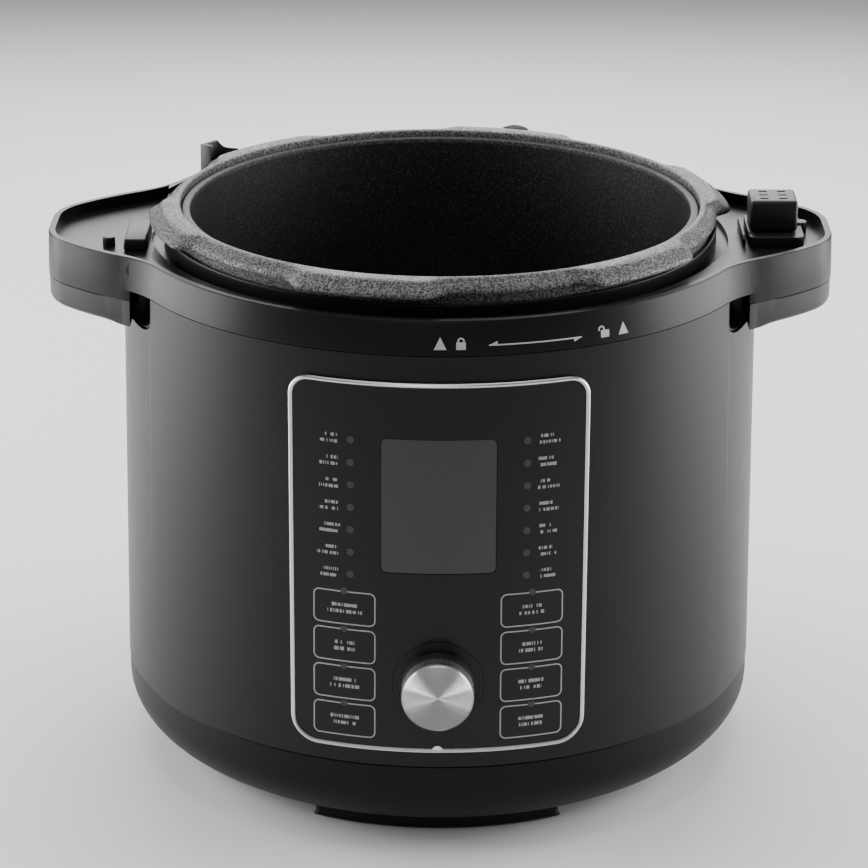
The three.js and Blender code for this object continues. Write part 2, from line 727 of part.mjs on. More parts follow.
function traceGrip(shape, side, p, forward) {
  const put = ([x, y], flip) => [side * x, flip * y];
  const one = forward ? 1 : -1;
  shape.quadraticCurveTo(...put(p.hollow, one), ...put(p.flank, one));
  shape.quadraticCurveTo(...put(p.belly, one), ...put(p.shoulder, one));
  shape.quadraticCurveTo(...put(p.corner, one), ...put(p.tip, one));
  shape.lineTo(...put(p.tip, -one));
  shape.quadraticCurveTo(...put(p.corner, -one), ...put(p.shoulder, -one));
  shape.quadraticCurveTo(...put(p.belly, -one), ...put(p.flank, -one));
  shape.quadraticCurveTo(...put(p.hollow, -one), ...put(p.root, -one));
}

function ringOutline(inset) {
  const p = gripSide(inset);
  const edge = THREE.MathUtils.degToRad(90 - HANDLE_ROOT_ANGLE);
  const radius = BODY_R - inset;
  const shape = new THREE.Shape();
  shape.moveTo(-p.root[0], p.root[1]);
  shape.absarc(0, 0, radius, Math.PI + edge, Math.PI * 2 - edge);
  traceGrip(shape, 1, p, true);
  shape.absarc(0, 0, radius, edge, Math.PI - edge);
  traceGrip(shape, -1, p, false);
  return shape;
}

const handleSide = (x0) => block(x0, TIP_X + 10, -90, 90, 0, RIM_TOP + 20);
const bothSides = (made) => made.add(made.mirror([1, 0, 0]));

// The grip's inner edge, a long bow on the side of the finger gap.
function gripBar(inset, z0, z1) {
  const x = GRIP_INNER_X + inset;
  const bow = new THREE.Shape();
  const rootX = BODY_R - 6.4 + inset;
  bow.moveTo(TIP_X + 10, -HANDLE_ROOT_HALF - 8);
  bow.lineTo(TIP_X + 10, HANDLE_ROOT_HALF + 8);
  bow.lineTo(rootX, HANDLE_ROOT_HALF + 8);
  bow.lineTo(rootX, HANDLE_ROOT_HALF);
  bow.quadraticCurveTo(x, HANDLE_ROOT_HALF - 6, x, HANDLE_ROOT_HALF - 22);
  bow.lineTo(x, -HANDLE_ROOT_HALF + 22);
  bow.quadraticCurveTo(x, -HANDLE_ROOT_HALF + 6, rootX, -HANDLE_ROOT_HALF);
  bow.lineTo(rootX, -HANDLE_ROOT_HALF - 8);
  return raised(bow, z0, z1).intersect(raised(ringOutline(inset), z0, z1));
}

const SOCKET_X = BODY_R + 6.7; // middle of the accessory socket
const SOCKET_HALF_X = 12.8;
const SOCKET_HALF_Y = 17;
const POST_X = -(BODY_R + 5);
const POST_Y = -18.2;
const POST_ROOM_R = 7.6;
const POST_WALL = 1.8;
const HANDLE_SCREW_Y = 17;
const HANDLE_SCREW_X = TIP_X - 11.8;

// The widening of the left grip round the lid switch.
function postRoom(inset, z0, z1) {
  return disc(POST_ROOM_R - inset, z0, z1, 16).translate([POST_X, POST_Y, 0]);
}

// Each grip's two screw places, on the +X side.
function atScrews(made) {
  const one = made.translate([HANDLE_SCREW_X, HANDLE_SCREW_Y, 0]);
  return one.add(one.mirror([0, 1, 0]));
}

function topRing() {
  const deck = RING_TOP - 2;
  const bandIn = BODY_R - 3.5;
  const ring = turned([
    [NECK_R + SEAM, TRAY_UNDER - 2],
    [CHANNEL_R + PLASTIC_T, TRAY_UNDER - 2],
    [CHANNEL_R + PLASTIC_T, TRAY_UNDER],
    [bandIn, TRAY_UNDER],
    [bandIn, RING_BOTTOM],
    [BODY_R, RING_BOTTOM],
    [BODY_R - 1.6, RING_TOP],
    [bandIn - 0.6, RING_TOP],
    [bandIn - 1.6, deck],
    [CHANNEL_R, deck],
    [CHANNEL_R, TRAY_FLOOR - 2],
    [COLLAR_R + 1.6, TRAY_FLOOR - 2],
    [COLLAR_R + 1.6, RING_TOP + 1.6],
    [COLLAR_R, RING_TOP + 1.6],
    [COLLAR_R, TRAY_UNDER],
    [NECK_R + SEAM, TRAY_UNDER],
  ]);
  const gapHalf = HANDLE_ROOT_HALF - 5;
  const gap = block(CHANNEL_R + PLASTIC_T, TIP_X, -gapHalf, gapHalf, RING_BOTTOM - 1, TRAY_UNDER);
  const inner = handleSide(CHANNEL_R - 20);
  const hub = disc(bandIn, 0, RIM_TOP, ROUND);
  const wall = raised(ringOutline(0), RING_BOTTOM, RING_TOP)
    .subtract(hub)
    .intersect(inner)
    .subtract(raised(ringOutline(PLASTIC_T), SKIRT_BOTTOM - 1, TRAY_UNDER));
  const skirt = gripBar(0, SKIRT_BOTTOM, TRAY_UNDER + 0.5)
    .subtract(gripBar(PLASTIC_T, SKIRT_BOTTOM - 1, TRAY_UNDER + 1));
  const bosses = atScrews(disc(BOSS_R, SKIRT_BOTTOM, TRAY_UNDER + 0.5, 12));
  const channel = disc(CHANNEL_R, 0, RIM_TOP, ROUND);
  const floorSide = handleSide(CHANNEL_R - 3).subtract(channel);
  const tray = raised(ringOutline(TRAY_WALL), TRAY_FLOOR, RING_TOP + 5).intersect(floorSide);
  const plate = raised(ringOutline(TRAY_WALL - 0.5), TRAY_UNDER, TRAY_FLOOR).intersect(floorSide);
  const bores = atScrews(disc(SHANK_R + SEAM, SKIRT_BOTTOM - 1, TRAY_UNDER + 1, 10));
  const postWall = postRoom(0, SKIRT_BOTTOM, TRAY_UNDER + 0.5);
  return ring
    .subtract(bothSides(gap))
    .add(bothSides(wall.add(skirt).add(bosses)))
    .add(postWall)
    .subtract(bothSides(tray))
    .subtract(postRoom(POST_WALL, SKIRT_BOTTOM - 1, TRAY_UNDER + 1))
    .add(bothSides(plate))
    .subtract(bothSides(bores))
    .subtract(disc(POST_R + RUN, TRAY_UNDER - 1, TRAY_FLOOR + 1, 16).translate([POST_X, POST_Y, 0]));
}

// A grip's open tub, with room in it for the lid switch on the left.
function gripCover(room) {
  const floor = GRIP_BOTTOM + PLASTIC_T;
  const edge = 0.4;
  let outer = gripBar(edge, GRIP_BOTTOM, GRIP_TOP);
  let inner = gripBar(edge + PLASTIC_T, floor, GRIP_TOP + 1);
  if (room) {
    outer = outer.add(postRoom(edge, GRIP_BOTTOM, GRIP_TOP).mirror([1, 0, 0]));
    inner = inner.add(postRoom(edge + POST_WALL, floor, GRIP_TOP + 1).mirror([1, 0, 0]));
  }
  return outer
    .subtract(inner)
    .add(atScrews(disc(BOSS_R, GRIP_BOTTOM, GRIP_TOP, 12)))
    .subtract(atScrews(screwSeat().translate([0, 0, GRIP_BOTTOM])));
}

function addGrips() {
  const pocket = fingerPocket();
  add("handle_cover_right", gripCover(false), PLASTIC_BLACK);
  add("handle_cover_left", gripCover(true).mirror([1, 0, 0]), PLASTIC_BLACK);
  add("finger_pocket_right", pocket, PLASTIC_BLACK);
  add("finger_pocket_left", pocket.mirror([1, 0, 0]), PLASTIC_BLACK);
  const spots = { left_front: [-1, -1], left_rear: [-1, 1], right_front: [1, -1], right_rear: [1, 1] };
  for (const [spot, [sx, sy]] of Object.entries(spots)) {
    const made = screw(19).translate([sx * HANDLE_SCREW_X, sy * HANDLE_SCREW_Y, GRIP_BOTTOM]);
    add(`handle_screw_${spot}`, made, STEEL);
  }
}

// ---- What stands on the ring ----
function addLidSwitch() {
  const top = TRAY_FLOOR + POST_RISE;
  const collar = TRAY_UNDER - 0.4;
  const tail = collar - 3;
  const switchTop = tail - POST_TRAVEL - 1.5;
  const post = turned([
    [0, tail],
    [POST_R - 0.6, tail],
    [POST_R - 0.6, collar - 1.2],
    [POST_R + 1.4, collar - 1.2],
    [POST_R + 1.4, collar],
    [POST_R, collar],
    [POST_R, TRAY_FLOOR],
    [POST_R - 0.4, top - 0.6],
    [POST_R - 0.9, top],
    [0, top],
  ], 16);
  add("lid_switch_post", post.translate([POST_X, POST_Y, 0]), PLASTIC_BLACK);
  const wire = 0.35;
  const coil = spring(POST_R + 0.4, wire, switchTop + wire + SEAM, collar - 1.2 - wire - SEAM, 3);
  add("lid_switch_spring", coil.translate([POST_X, POST_Y, 0]), STEEL);
  const floor = GRIP_BOTTOM + PLASTIC_T + SEAM;
  const half = 3.4;
  const body = block(POST_X - half, POST_X + half, POST_Y - half, POST_Y + half, floor, switchTop);
  add("lid_switch", body, PART_GREY);
}

// A block with a slightly narrower top.
function tapered(x0, x1, y0, y1, z0, z1, draft) {
  const middle = [(x0 + x1) / 2, (y0 + y1) / 2];
  return block(x0, x1, y0, y1, z0, z1).warp((point) => {
    if (point[2] < (z0 + z1) / 2) return;
    point[0] += Math.sign(middle[0] - point[0]) * draft;
    point[1] += Math.sign(middle[1] - point[1]) * draft;
  });
}

function addTrayPieces() {
  const floor = TRAY_FLOOR + SEAM;
  const near = -(CHANNEL_R + 0.3);
  const guide = tapered(near - 10, near, -26.5, 3.4, floor, TRAY_FLOOR + 5.1, 0.3);
  add("lid_guide_block", guide, PLASTIC_BLACK);

  const shelf = RING_TOP;
  const x0 = SOCKET_X - SOCKET_HALF_X;
  const x1 = SOCKET_X + SOCKET_HALF_X;
  const base = tapered(x0 + 2.4, x1, -SOCKET_HALF_Y, SOCKET_HALF_Y, floor, shelf - SEAM, 0.6);
  const lug = disc(3, floor, shelf + 0.4, 16).translate([x1 + 1, 5, 0]);
  add("socket_base", base.add(lug), PLASTIC_BLACK);
  const half = 10;
  const towerTop = shelf + 13.4;
  let tower = tapered(SOCKET_X - half, SOCKET_X + half, -half, half, shelf, towerTop, 0.3);
  for (const x of [SOCKET_X - 4, SOCKET_X + 4]) {
    for (const y of [-5.4, 0, 5.4]) {
      tower = tower.subtract(block(x - 1.8, x + 1.8, y - 0.8, y + 0.8, towerTop - 4, towerTop + 1));
    }
  }
  add("socket_tower", tower, PLASTIC_BLACK);
  add("socket_flange", block(x0, x0 + 1.6, -15, 15, floor, shelf - 0.4), PLASTIC_BLACK);
}

function addRearPieces() {
  const onRing = RING_TOP + SEAM;
  const wide = 15;
  const deep = 6.5;
  const high = 13;
  const out = BODY_R - 2.4;
  const cup = block(-wide / 2, wide / 2, -out, -out + deep, onRing, onRing + high)
    .subtract(block(-wide / 2 + 2, wide / 2 + 1, -out + 2, -out + deep + 1, onRing + 2.5, onRing + high + 1));
  add("lid_stop_bracket", cup.rotate([0, 0, -129]), PLASTIC_BLACK);
  const domeR = 6.9;
  const dome = turned([
    [0, onRing],
    [domeR * 0.3, onRing],
    [domeR * 0.3, onRing + 4.8],
    [domeR, onRing + 5.6],
    [domeR * 0.86, onRing + 7.4],
    [domeR * 0.45, onRing + 8.3],
    [0, onRing + 8.5],
  ], 20);
  const [x, y] = polar(165, BODY_R - 3.2);
  add("lid_rest_stud", dome.translate([x, y, 0]), RUBBER);
}

function addBaseScrews() {
  SCREW_TURNS.forEach((turn, i) => {
    const [x, y] = polar(turn, SCREW_CIRCLE);
    add(`base_screw_${i + 1}`, screw(12).translate([x, y, FOOT_H]), STEEL);
  });
}

add("base_cover", baseCover(), PLASTIC_BLACK);
addFeet();
addBaseScrews();
add("power_inlet", powerInlet(), PLASTIC_BLACK);
add("body_shell", bodyShell(), SATIN_BLACK);
add("heat_shield", heatShield(), STEEL);
add("outer_pot", outerPot(), CAST);
add("inner_pot", innerPot(), NONSTICK);
addHeater();
addPowerBoard();
addBoards();
addPanel();
addKnob();
add("top_ring", topRing(), PLASTIC_BLACK);
addGrips();
addLidSwitch();
addTrayPieces();
addRearPieces();

export default cooker;
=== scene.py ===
"""The looks of an electric pressure cooker without its lid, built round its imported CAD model.

Sizes are in millimetres on the row frame's axes: +Z up, the control panel facing -Y. Helpers turn
them into metres. The main radii and heights are read from the frame.
"""

from math import asin, atan2, cos, degrees, hypot, pi, radians, sin, sqrt, tan

import bpy
from mathutils import Matrix, Vector


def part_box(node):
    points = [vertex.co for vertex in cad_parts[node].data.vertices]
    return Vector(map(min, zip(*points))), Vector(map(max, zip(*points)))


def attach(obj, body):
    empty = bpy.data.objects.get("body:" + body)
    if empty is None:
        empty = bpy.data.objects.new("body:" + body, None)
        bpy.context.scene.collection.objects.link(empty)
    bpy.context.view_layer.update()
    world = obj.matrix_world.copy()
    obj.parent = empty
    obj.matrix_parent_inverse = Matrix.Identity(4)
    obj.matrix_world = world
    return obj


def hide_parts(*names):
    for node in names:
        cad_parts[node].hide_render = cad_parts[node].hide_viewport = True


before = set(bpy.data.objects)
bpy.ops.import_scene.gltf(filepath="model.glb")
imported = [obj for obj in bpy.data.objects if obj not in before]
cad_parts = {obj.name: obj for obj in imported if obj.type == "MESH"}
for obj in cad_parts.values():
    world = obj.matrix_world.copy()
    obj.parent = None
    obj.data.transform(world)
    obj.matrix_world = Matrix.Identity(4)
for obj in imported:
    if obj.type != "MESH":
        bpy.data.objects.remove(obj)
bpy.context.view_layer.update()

MM = 0.001
AROUND = 160  # steps in a full turn of a large round piece
SMALL_AROUND = 48


def low(node, axis=2):
    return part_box(node)[0][axis] / MM


def high(node, axis=2):
    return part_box(node)[1][axis] / MM


# ---- Main sizes, from the frame ----
SEAM = 0.3
BODY_LOW = low("body_shell")
BODY_TOP = high("body_shell")
BODY_LOW_R = high("body_shell", 1)
BODY_R = high("top_ring", 1)
BASE_LOW = low("base_cover")
BASE_TOP = high("base_cover")
BASE_R = high("base_cover", 1)
RING_LOW = BODY_TOP + SEAM
LIP_TOP = high("top_ring")
RING_TOP = LIP_TOP - 1.6
RIM_TOP = high("outer_pot")
LUG_R = high("outer_pot", 0)
NECK_R = BODY_R - 19.8
BORE_R = NECK_R - 4.6
POT_TOP = high("inner_pot")
POT_LOW = low("inner_pot")
POT_RIM_R = high("inner_pot", 1)
COLLAR_R = NECK_R + 1
CHANNEL_R = COLLAR_R + 6.8
TRAY_FLOOR = RING_TOP - 5
TIP_X = high("top_ring", 0)
SKIRT_LOW = low("top_ring")
GRIP_LOW = low("handle_cover_right")
GRIP_TOP = high("handle_cover_right")
POCKET_X = low("finger_pocket_right", 0) + 1.2
PANEL_LOW = low("panel_frame")
PANEL_TOP = high("panel_frame")
PANEL_HALF = high("panel_frame", 0)
WINDOW_LOW = low("display_lens")
WINDOW_TOP = high("display_lens")
WINDOW_HALF = high("display_lens", 0)
KNOB_R = high("knob_cap", 0)
KNOB_Z = (low("knob_cap") + high("knob_cap")) / 2
KNOB_FACE = -low("knob_cap", 1)
WELL_R = high("knob_well", 0)


def wall_r(z):
    """The body's outside radius at a height."""
    return BODY_R + (BODY_LOW_R - BODY_R) * (BODY_TOP - z) / (BODY_TOP - BODY_LOW)


# ---- Camera and lights ----
def look(position, target, roll=0.0):
    """The matrix of something at a position that looks at a target, turned about its line of sight."""
    back = (Vector(position) - Vector(target)).normalized()
    across = Vector((0, 0, 1)).cross(back).normalized()
    up = back.cross(across)
    right = across * cos(roll) + up * sin(roll)
    up = up * cos(roll) - across * sin(roll)
    turn = Matrix((right, up, back)).transposed().to_4x4()
    return Matrix.Translation(Vector(position)) @ turn


CAMERA_DISTANCE = 1500
CAMERA_RISE = radians(20.14)
CAMERA_ROLL = radians(0.27)
TARGET = Vector((-2.2, 0, 135.07)) * MM
CAMERA_LENS = 142.3

bpy.ops.object.camera_add()
camera = bpy.context.active_object
camera.name = "camera"
stand = Vector((0, -cos(CAMERA_RISE), sin(CAMERA_RISE))) * CAMERA_DISTANCE * MM
camera.matrix_world = look(Vector((0, 0, TARGET.z)) + stand, TARGET, CAMERA_ROLL)
camera.data.lens = CAMERA_LENS
camera.data.sensor_width = 36
bpy.context.scene.camera = camera


def softbox(name, position, target, width, height, power):
    bpy.ops.object.light_add(type="AREA")
    lamp = bpy.context.active_object
    lamp.name = name
    lamp.matrix_world = look(Vector(position) * MM, Vector(target) * MM)
    lamp.data.shape = "RECTANGLE"
    lamp.data.size = width * MM
    lamp.data.size_y = height * MM
    lamp.data.energy = power


softbox("left_softbox", (-1000, 150, 330), (0, 0, 130), 900, 800, 20)
softbox("right_softbox", (1000, 150, 330), (0, 0, 130), 900, 800, 19)
softbox("back_softbox", (0, 1100, 700), (0, 0, 200), 1200, 700, 14)
softbox("top_softbox", (0, 100, 1400), (0, 0, 150), 900, 900, 9)
softbox("front_softbox", (-200, -1600, 1100), (0, 0, 120), 500, 400, 2.5)

world = bpy.data.worlds.new("studio")
world.use_nodes = True
world.node_tree.nodes["Background"].inputs["Color"].default_value = (1, 1, 1, 1)
world.node_tree.nodes["Background"].inputs["Strength"].default_value = 0.22
bpy.context.scene.world = world


# ---- Finishes ----
class Value:
    """A number that varies over a surface. Arithmetic on it adds Math nodes."""

    def __init__(self, finish, socket):
        self.finish = finish
        self.socket = socket

    def __add__(self, other):
        return self.finish.math("ADD", self, other)

    __radd__ = __add__

    def __sub__(self, other):
        return self.finish.math("SUBTRACT", self, other)

    def __rsub__(self, other):
        return self.finish.math("SUBTRACT", other, self)

    def __mul__(self, other):
        return self.finish.math("MULTIPLY", self, other)

    __rmul__ = __mul__

    def __truediv__(self, other):
        return self.finish.math("DIVIDE", self, other)

    def __lt__(self, other):
        return self.finish.math("LESS_THAN", self, other)

    def __gt__(self, other):
        return self.finish.math("GREATER_THAN", self, other)

    def __abs__(self):
        return self.finish.math("ABSOLUTE", self)


class Finish:
    """A material and the few ways its nodes are added."""

    def __init__(self, name, color, roughness, metallic=0.0):
        self.material = bpy.data.materials.new(name)
        self.material.use_nodes = True
        self.tree = self.material.node_tree
        self.shader = self.tree.nodes["Principled BSDF"]
        self.set("Base Color", color)
        self.set("Roughness", roughness)
        self.set("Metallic", metallic)
        self._spot = None

    def set(self, socket, value):
        if isinstance(value, Value):
            self.tree.links.new(value.socket, self.shader.inputs[socket])
        elif isinstance(value, bpy.types.NodeSocket):
            self.tree.links.new(value, self.shader.inputs[socket])
        elif isinstance(value, tuple):
            self.shader.inputs[socket].default_value = (*value, 1)
        else:
            self.shader.inputs[socket].default_value = value
        return self

    def node(self, kind, settings=None, inputs=None):
        made = self.tree.nodes.new(kind)
        for key, value in (settings or {}).items():
            setattr(made, key, value)
        for key, value in (inputs or {}).items():
            if isinstance(value, Value):
                value = value.socket
            if isinstance(value, bpy.types.NodeSocket):
                self.tree.links.new(value, made.inputs[key])
            else:
                made.inputs[key].default_value = value
        return made

    def math(self, operation, *values):
        return Value(self, self.node("ShaderNodeMath", {"operation": operation},
                                     dict(enumerate(values))).outputs[0])

    def smallest(self, first, *others):
        for other in others:
            first = self.math("MINIMUM", first, other)
        return first

    def largest(self, first, *others):
        for other in others:
            first = self.math("MAXIMUM", first, other)
        return first

    def hypot(self, a, b):
        return self.math("SQRT", a * a + b * b)

    @property
    def spot(self):
        """The point's object coordinates, in metres."""
        if self._spot is None:
            self._spot = self.node("ShaderNodeTexCoord").outputs["Object"]
        return self._spot

    def place(self):
        """The point's x, y and z in millimetres."""
        parts = self.node("ShaderNodeSeparateXYZ", {}, {0: self.spot}).outputs
        return [Value(self, part) * (1 / MM) for part in parts]

    def noise(self, size, detail=2.0, roughness=0.5, vector=None):
        """Noise from 0 to 1 with blotches about as wide as size, in millimetres."""
        made = self.node("ShaderNodeTexNoise", {}, {
            "Vector": vector or self.spot, "Scale": 1 / (size * MM),
            "Detail": detail, "Roughness": roughness})
        return Value(self, made.outputs["Fac"])

    def ramp(self, value, start, end, first=0.0, last=1.0):
        """Goes smoothly from first to last as value goes from start to end."""
        made = self.node("ShaderNodeMapRange", {"interpolation_type": "SMOOTHSTEP"}, {
            "Value": value, "From Min": start, "From Max": end, "To Min": first, "To Max": last})
        return Value(self, made.outputs["Result"])

    def mix(self, amount, first, last):
        made = self.node("ShaderNodeMix", {"data_type": "RGBA"}, {"Factor": amount})
        for socket, value in ((made.inputs[6], first), (made.inputs[7], last)):
            if isinstance(value, tuple):
                socket.default_value = (*value, 1)
            else:
                self.tree.links.new(value, socket)
        return made.outputs[2]

    def bump(self, height, depth):
        """Raises the surface by height, from 0 to 1, times depth in millimetres."""
        made = self.node("ShaderNodeBump", {}, {"Distance": depth * MM, "Height": height})
        return self.set("Normal", made.outputs["Normal"])


def grey(level):
    return (level, level, level)


def moulded(name, level, roughness, grain=0.25, depth=0.012, shine=0.35):
    """Black plastic with a fine moulded grain."""
    made = Finish(name, grey(level), roughness)
    made.set("Specular IOR Level", shine)
    texture = made.noise(grain, 3)
    made.bump(texture, depth)
    made.set("Roughness", roughness - 0.05 + 0.1 * made.noise(1.5, 2))
    return made


def painted_wall():
    """Satin black paint on sheet steel."""
    made = Finish("satin_black_paint", grey(0.005), 0.4)
    made.set("Specular IOR Level", 0.24)
    orange_peel = made.noise(1.2, 2)
    made.bump(orange_peel, 0.006)
    made.set("Roughness", 0.36 + 0.06 * made.noise(9, 2))
    return made


def cast_rim():
    """Cast aluminium, blasted and speckled, with a painted highlight on the rim's top face round the mouth."""
    made = Finish("cast_aluminium", grey(0.3), 0.5, 0.85)
    x, y, z = made.place()
    speckle = made.ramp(made.noise(0.9, 4, 0.7), 0.42, 0.6)
    worn = made.ramp(made.noise(6, 3), 0.35, 0.7)
    dark, light = grey(0.045), grey(0.22)
    surface = made.mix(speckle, dark, light)
    inside = made.hypot(x, y) < BORE_R + 0.15
    # Painted highlight: the rim's top face, outside the bore, is painted paler where the lamps above catch it.
    painted_top_highlight = made.ramp(z, RIM_TOP - 0.9, RIM_TOP - 0.2) * (1 - inside)
    surface = made.mix(painted_top_highlight * (0.25 + 0.4 * speckle), surface, grey(0.34))
    made.set("Base Color", made.mix(worn * 0.25, surface, grey(0.08)))
    made.bump(speckle, 0.12)
    made.set("Roughness", 0.62 - 0.12 * speckle)
    return made


def nonstick():
    """Speckled non-stick coating, with a painted highlight along its rolled rim."""
    made = Finish("nonstick_coating", grey(0.012), 0.5)
    x, y, z = made.place()
    speckle = made.ramp(made.noise(0.9, 4, 0.75), 0.5, 0.68)
    coat = made.mix(speckle, grey(0.005), grey(0.04))
    made.set("Specular IOR Level", 0.3)
    # Painted highlight: the upper part of the rolled rim is painted paler, where light catches its curve.
    rim = made.ramp(z, POT_TOP - 2.2, POT_TOP - 1.6)
    made.set("Base Color", made.mix(rim, coat, made.mix(speckle, grey(0.03), grey(0.16))))
    made.bump(speckle, 0.06)
    return made


def plain(name, level, roughness, metallic=0.0, tint=None, spread=0.2):
    """A simple finish whose tone and gloss vary a little over the surface."""
    made = Finish(name, tint or grey(level), roughness, metallic)
    tone = tint or grey(level)
    paler = tuple(min(1, part * (1 + spread)) for part in tone)
    patches = made.noise(4, 3)
    made.set("Base Color", made.mix(patches, tone, paler))
    made.set("Roughness", roughness + 0.08 * made.noise(2, 2))
    return made


def brushed_face():
    """Aluminium brushed in circles about the knob's axis."""
    made = Finish("brushed_aluminium", grey(0.62), 0.24, 1.0)
    x, y, z = made.place()
    radius = made.hypot(x, z - KNOB_Z)
    grooves = made.node("ShaderNodeTexNoise", {"noise_dimensions": "1D"},
                        {"W": radius * 9.0, "Detail": 3.0})
    groove = Value(made, grooves.outputs["Fac"]) - 0.5
    outward = made.node("ShaderNodeCombineXYZ", {}, {
        0: x / radius * groove * 1.6, 1: 0.0, 2: (z - KNOB_Z) / radius * groove * 1.6})
    turned = made.node("ShaderNodeVectorTransform", {
        "vector_type": "NORMAL", "convert_from": "OBJECT", "convert_to": "WORLD"},
        {0: outward.outputs[0]})
    normal = made.node("ShaderNodeNewGeometry").outputs["Normal"]
    tilted = made.node("ShaderNodeVectorMath", {"operation": "ADD"},
                       {0: normal, 1: turned.outputs[0]})
    unit = made.node("ShaderNodeVectorMath", {"operation": "NORMALIZE"}, {0: tilted.outputs[0]})
    made.set("Normal", unit.outputs[0])
    made.set("Base Color", made.mix(groove + 0.5, grey(0.5), grey(0.72)))
    return made


# ---- Printing on the panel ----
ARC_R = (wall_r(PANEL_LOW) + wall_r(PANEL_TOP)) / 2
DOT_X = radians(14.95) * ARC_R
DOT_ROWS = 7
DOT_TOP = 180.9
DOT_STEP = 9.56
DOT_R = 1.5
KEY_X = radians(16.05) * ARC_R
KEY_HALF_W = radians(5.5) * ARC_R
KEY_HALF_H = 7.3
KEY_ROWS = 4
KEY_TOP = 108.7
KEY_STEP = 16.35
KEY_ROUND = 2.6
LINE_W = 0.55


def rounded_distance(made, across, up, half_w, half_h, rounding):
    """The distance outside a rounded rectangle, in millimetres; under 0 inside it."""
    beyond_x = made.largest(abs(across) - (half_w - rounding), 0.0)
    beyond_y = made.largest(abs(up) - (half_h - rounding), 0.0)
    return made.hypot(beyond_x, beyond_y) - rounding


def nearest_row(made, z, top, step, rows):
    """The height above the nearest of some evenly spaced rows, and that row's number from 0."""
    row = made.math("ROUND", (top - z) / step)
    row = made.smallest(made.largest(row, 0.0), rows - 1.0)
    return z - (top - row * step), row


def strokes(made, along, up, row, start, end, height, salt):
    """A line of short upright strokes that stands for small print and can't be read."""
    cell = made.math("FLOOR", along / 0.45)
    seed = made.node("ShaderNodeCombineXYZ", {}, {0: cell, 1: row, 2: salt})
    random = made.node("ShaderNodeTexWhiteNoise", {"noise_dimensions": "3D"},
                       {"Vector": seed.outputs[0]})
    inked = Value(made, random.outputs["Value"]) > 0.35
    lengths = made.node("ShaderNodeTexWhiteNoise", {"noise_dimensions": "2D"},
                        {"Vector": made.node("ShaderNodeCombineXYZ", {}, {0: row, 1: salt}).outputs[0]})
    inset = Value(made, lengths.outputs["Value"]) * ((end - start) * 0.2)
    tall = height / 2 * (0.62 + 0.38 * Value(made, random.outputs["Value"]))
    inside = (along > start + inset) * (along < end - inset) * (abs(up) < tall)
    return inked * inside


def printed_panel():
    """Glossy black film with its keys, dots and small print."""
    made = Finish("gloss_panel", grey(0.004), 0.2)
    made.set("Specular IOR Level", 0.25)
    x, y, z = made.place()
    arc = made.math("ARCTAN2", x, -1 * y) * ARC_R
    across = abs(arc)
    side = made.math("SIGN", arc)

    up, row = nearest_row(made, z, DOT_TOP, DOT_STEP, DOT_ROWS)
    dots = made.hypot(across - DOT_X, up) < DOT_R
    label = made.largest(
        strokes(made, across, up - 1.55, row + side * 9, DOT_X + 4.1, DOT_X + 11.6, 1.5, 0.3),
        strokes(made, across, up + 1.15, row + side * 9, DOT_X + 4.1, DOT_X + 14.2, 1.5, 0.7))

    key_up, key_row = nearest_row(made, z, KEY_TOP, KEY_STEP, KEY_ROWS)
    edge = rounded_distance(made, across - KEY_X, key_up, KEY_HALF_W, KEY_HALF_H, KEY_ROUND)
    key_dot = made.hypot(across - KEY_X, key_up - KEY_HALF_H) < DOT_R
    outline = (abs(edge + LINE_W / 2) < LINE_W / 2) * (1 - key_dot)
    middle = across - KEY_X
    legend = made.largest(
        strokes(made, middle, key_up - 1.2, key_row + side * 5, -6.5, 6.0, 1.7, 1.3),
        strokes(made, middle, key_up + 1.6, key_row + side * 5, -7.5, 7.0, 1.7, 1.9))

    ink = made.largest(outline, legend * 0.9, label * 0.85)
    lamps = made.largest(dots, key_dot)
    film = made.mix(ink, grey(0.004), grey(0.34))
    made.set("Base Color", made.mix(lamps, film, grey(0.045)))
    made.set("Roughness", 0.2 + 0.25 * ink)
    return made


def printed_ring():
    """The ring's black plastic with the lid's turning marks on its front."""
    made = moulded("printed_plastic", 0.005, 0.36, shine=0.2)
    x, y, z = made.place()
    arc = made.math("ARCTAN2", x, -1 * y) * BODY_R
    outside = made.hypot(x, y) > BODY_R - 3

    def at(angle):
        return arc - radians(angle) * BODY_R

    def triangle(angle, base, half, rise):
        up = z - base
        return (up > 0) * (abs(at(angle)) < half * (1 - up / rise))

    def box(across, up, half_w, half_h):
        return (abs(across) < half_w) * (abs(up) < half_h)

    def padlock(angle, base, lean):
        body = box(at(angle), z - (base + 1.5), 1.9, 1.5)
        loop = made.hypot(at(angle) - lean, z - (base + 3.4)) - 1.15
        shackle = (abs(loop) < 0.32) * (z > base + 2.9)
        return made.largest(body, shackle)

    low_edge = RING_LOW + 2.6
    shaft_mid, shaft_half = 16.5, 8.2
    shaft = box(at(shaft_mid), z - (low_edge + 1.6), radians(shaft_half) * BODY_R, 0.28)
    barb_left = (at(shaft_mid - shaft_half) > 0) * (
        made.hypot(at(shaft_mid - shaft_half), 0.0) < 3.4) * (z > low_edge + 1.6) * (
        z - (low_edge + 1.6) < 0.45 * at(shaft_mid - shaft_half))
    barb_right = (at(shaft_mid + shaft_half) < 0) * (
        made.hypot(at(shaft_mid + shaft_half), 0.0) < 3.4) * (z < low_edge + 1.6) * (
        (low_edge + 1.6) - z < -0.45 * at(shaft_mid + shaft_half))
    marks = made.largest(
        triangle(0.1, low_edge, 2.5, 5.2), padlock(3.6, low_edge, 0.0),
        shaft, barb_left, barb_right,
        padlock(29.2, low_edge, -1.6), triangle(32.9, low_edge, 2.4, 5.0))
    made.set("Base Color", made.mix(marks * outside, grey(0.005), grey(0.5)))
    return made


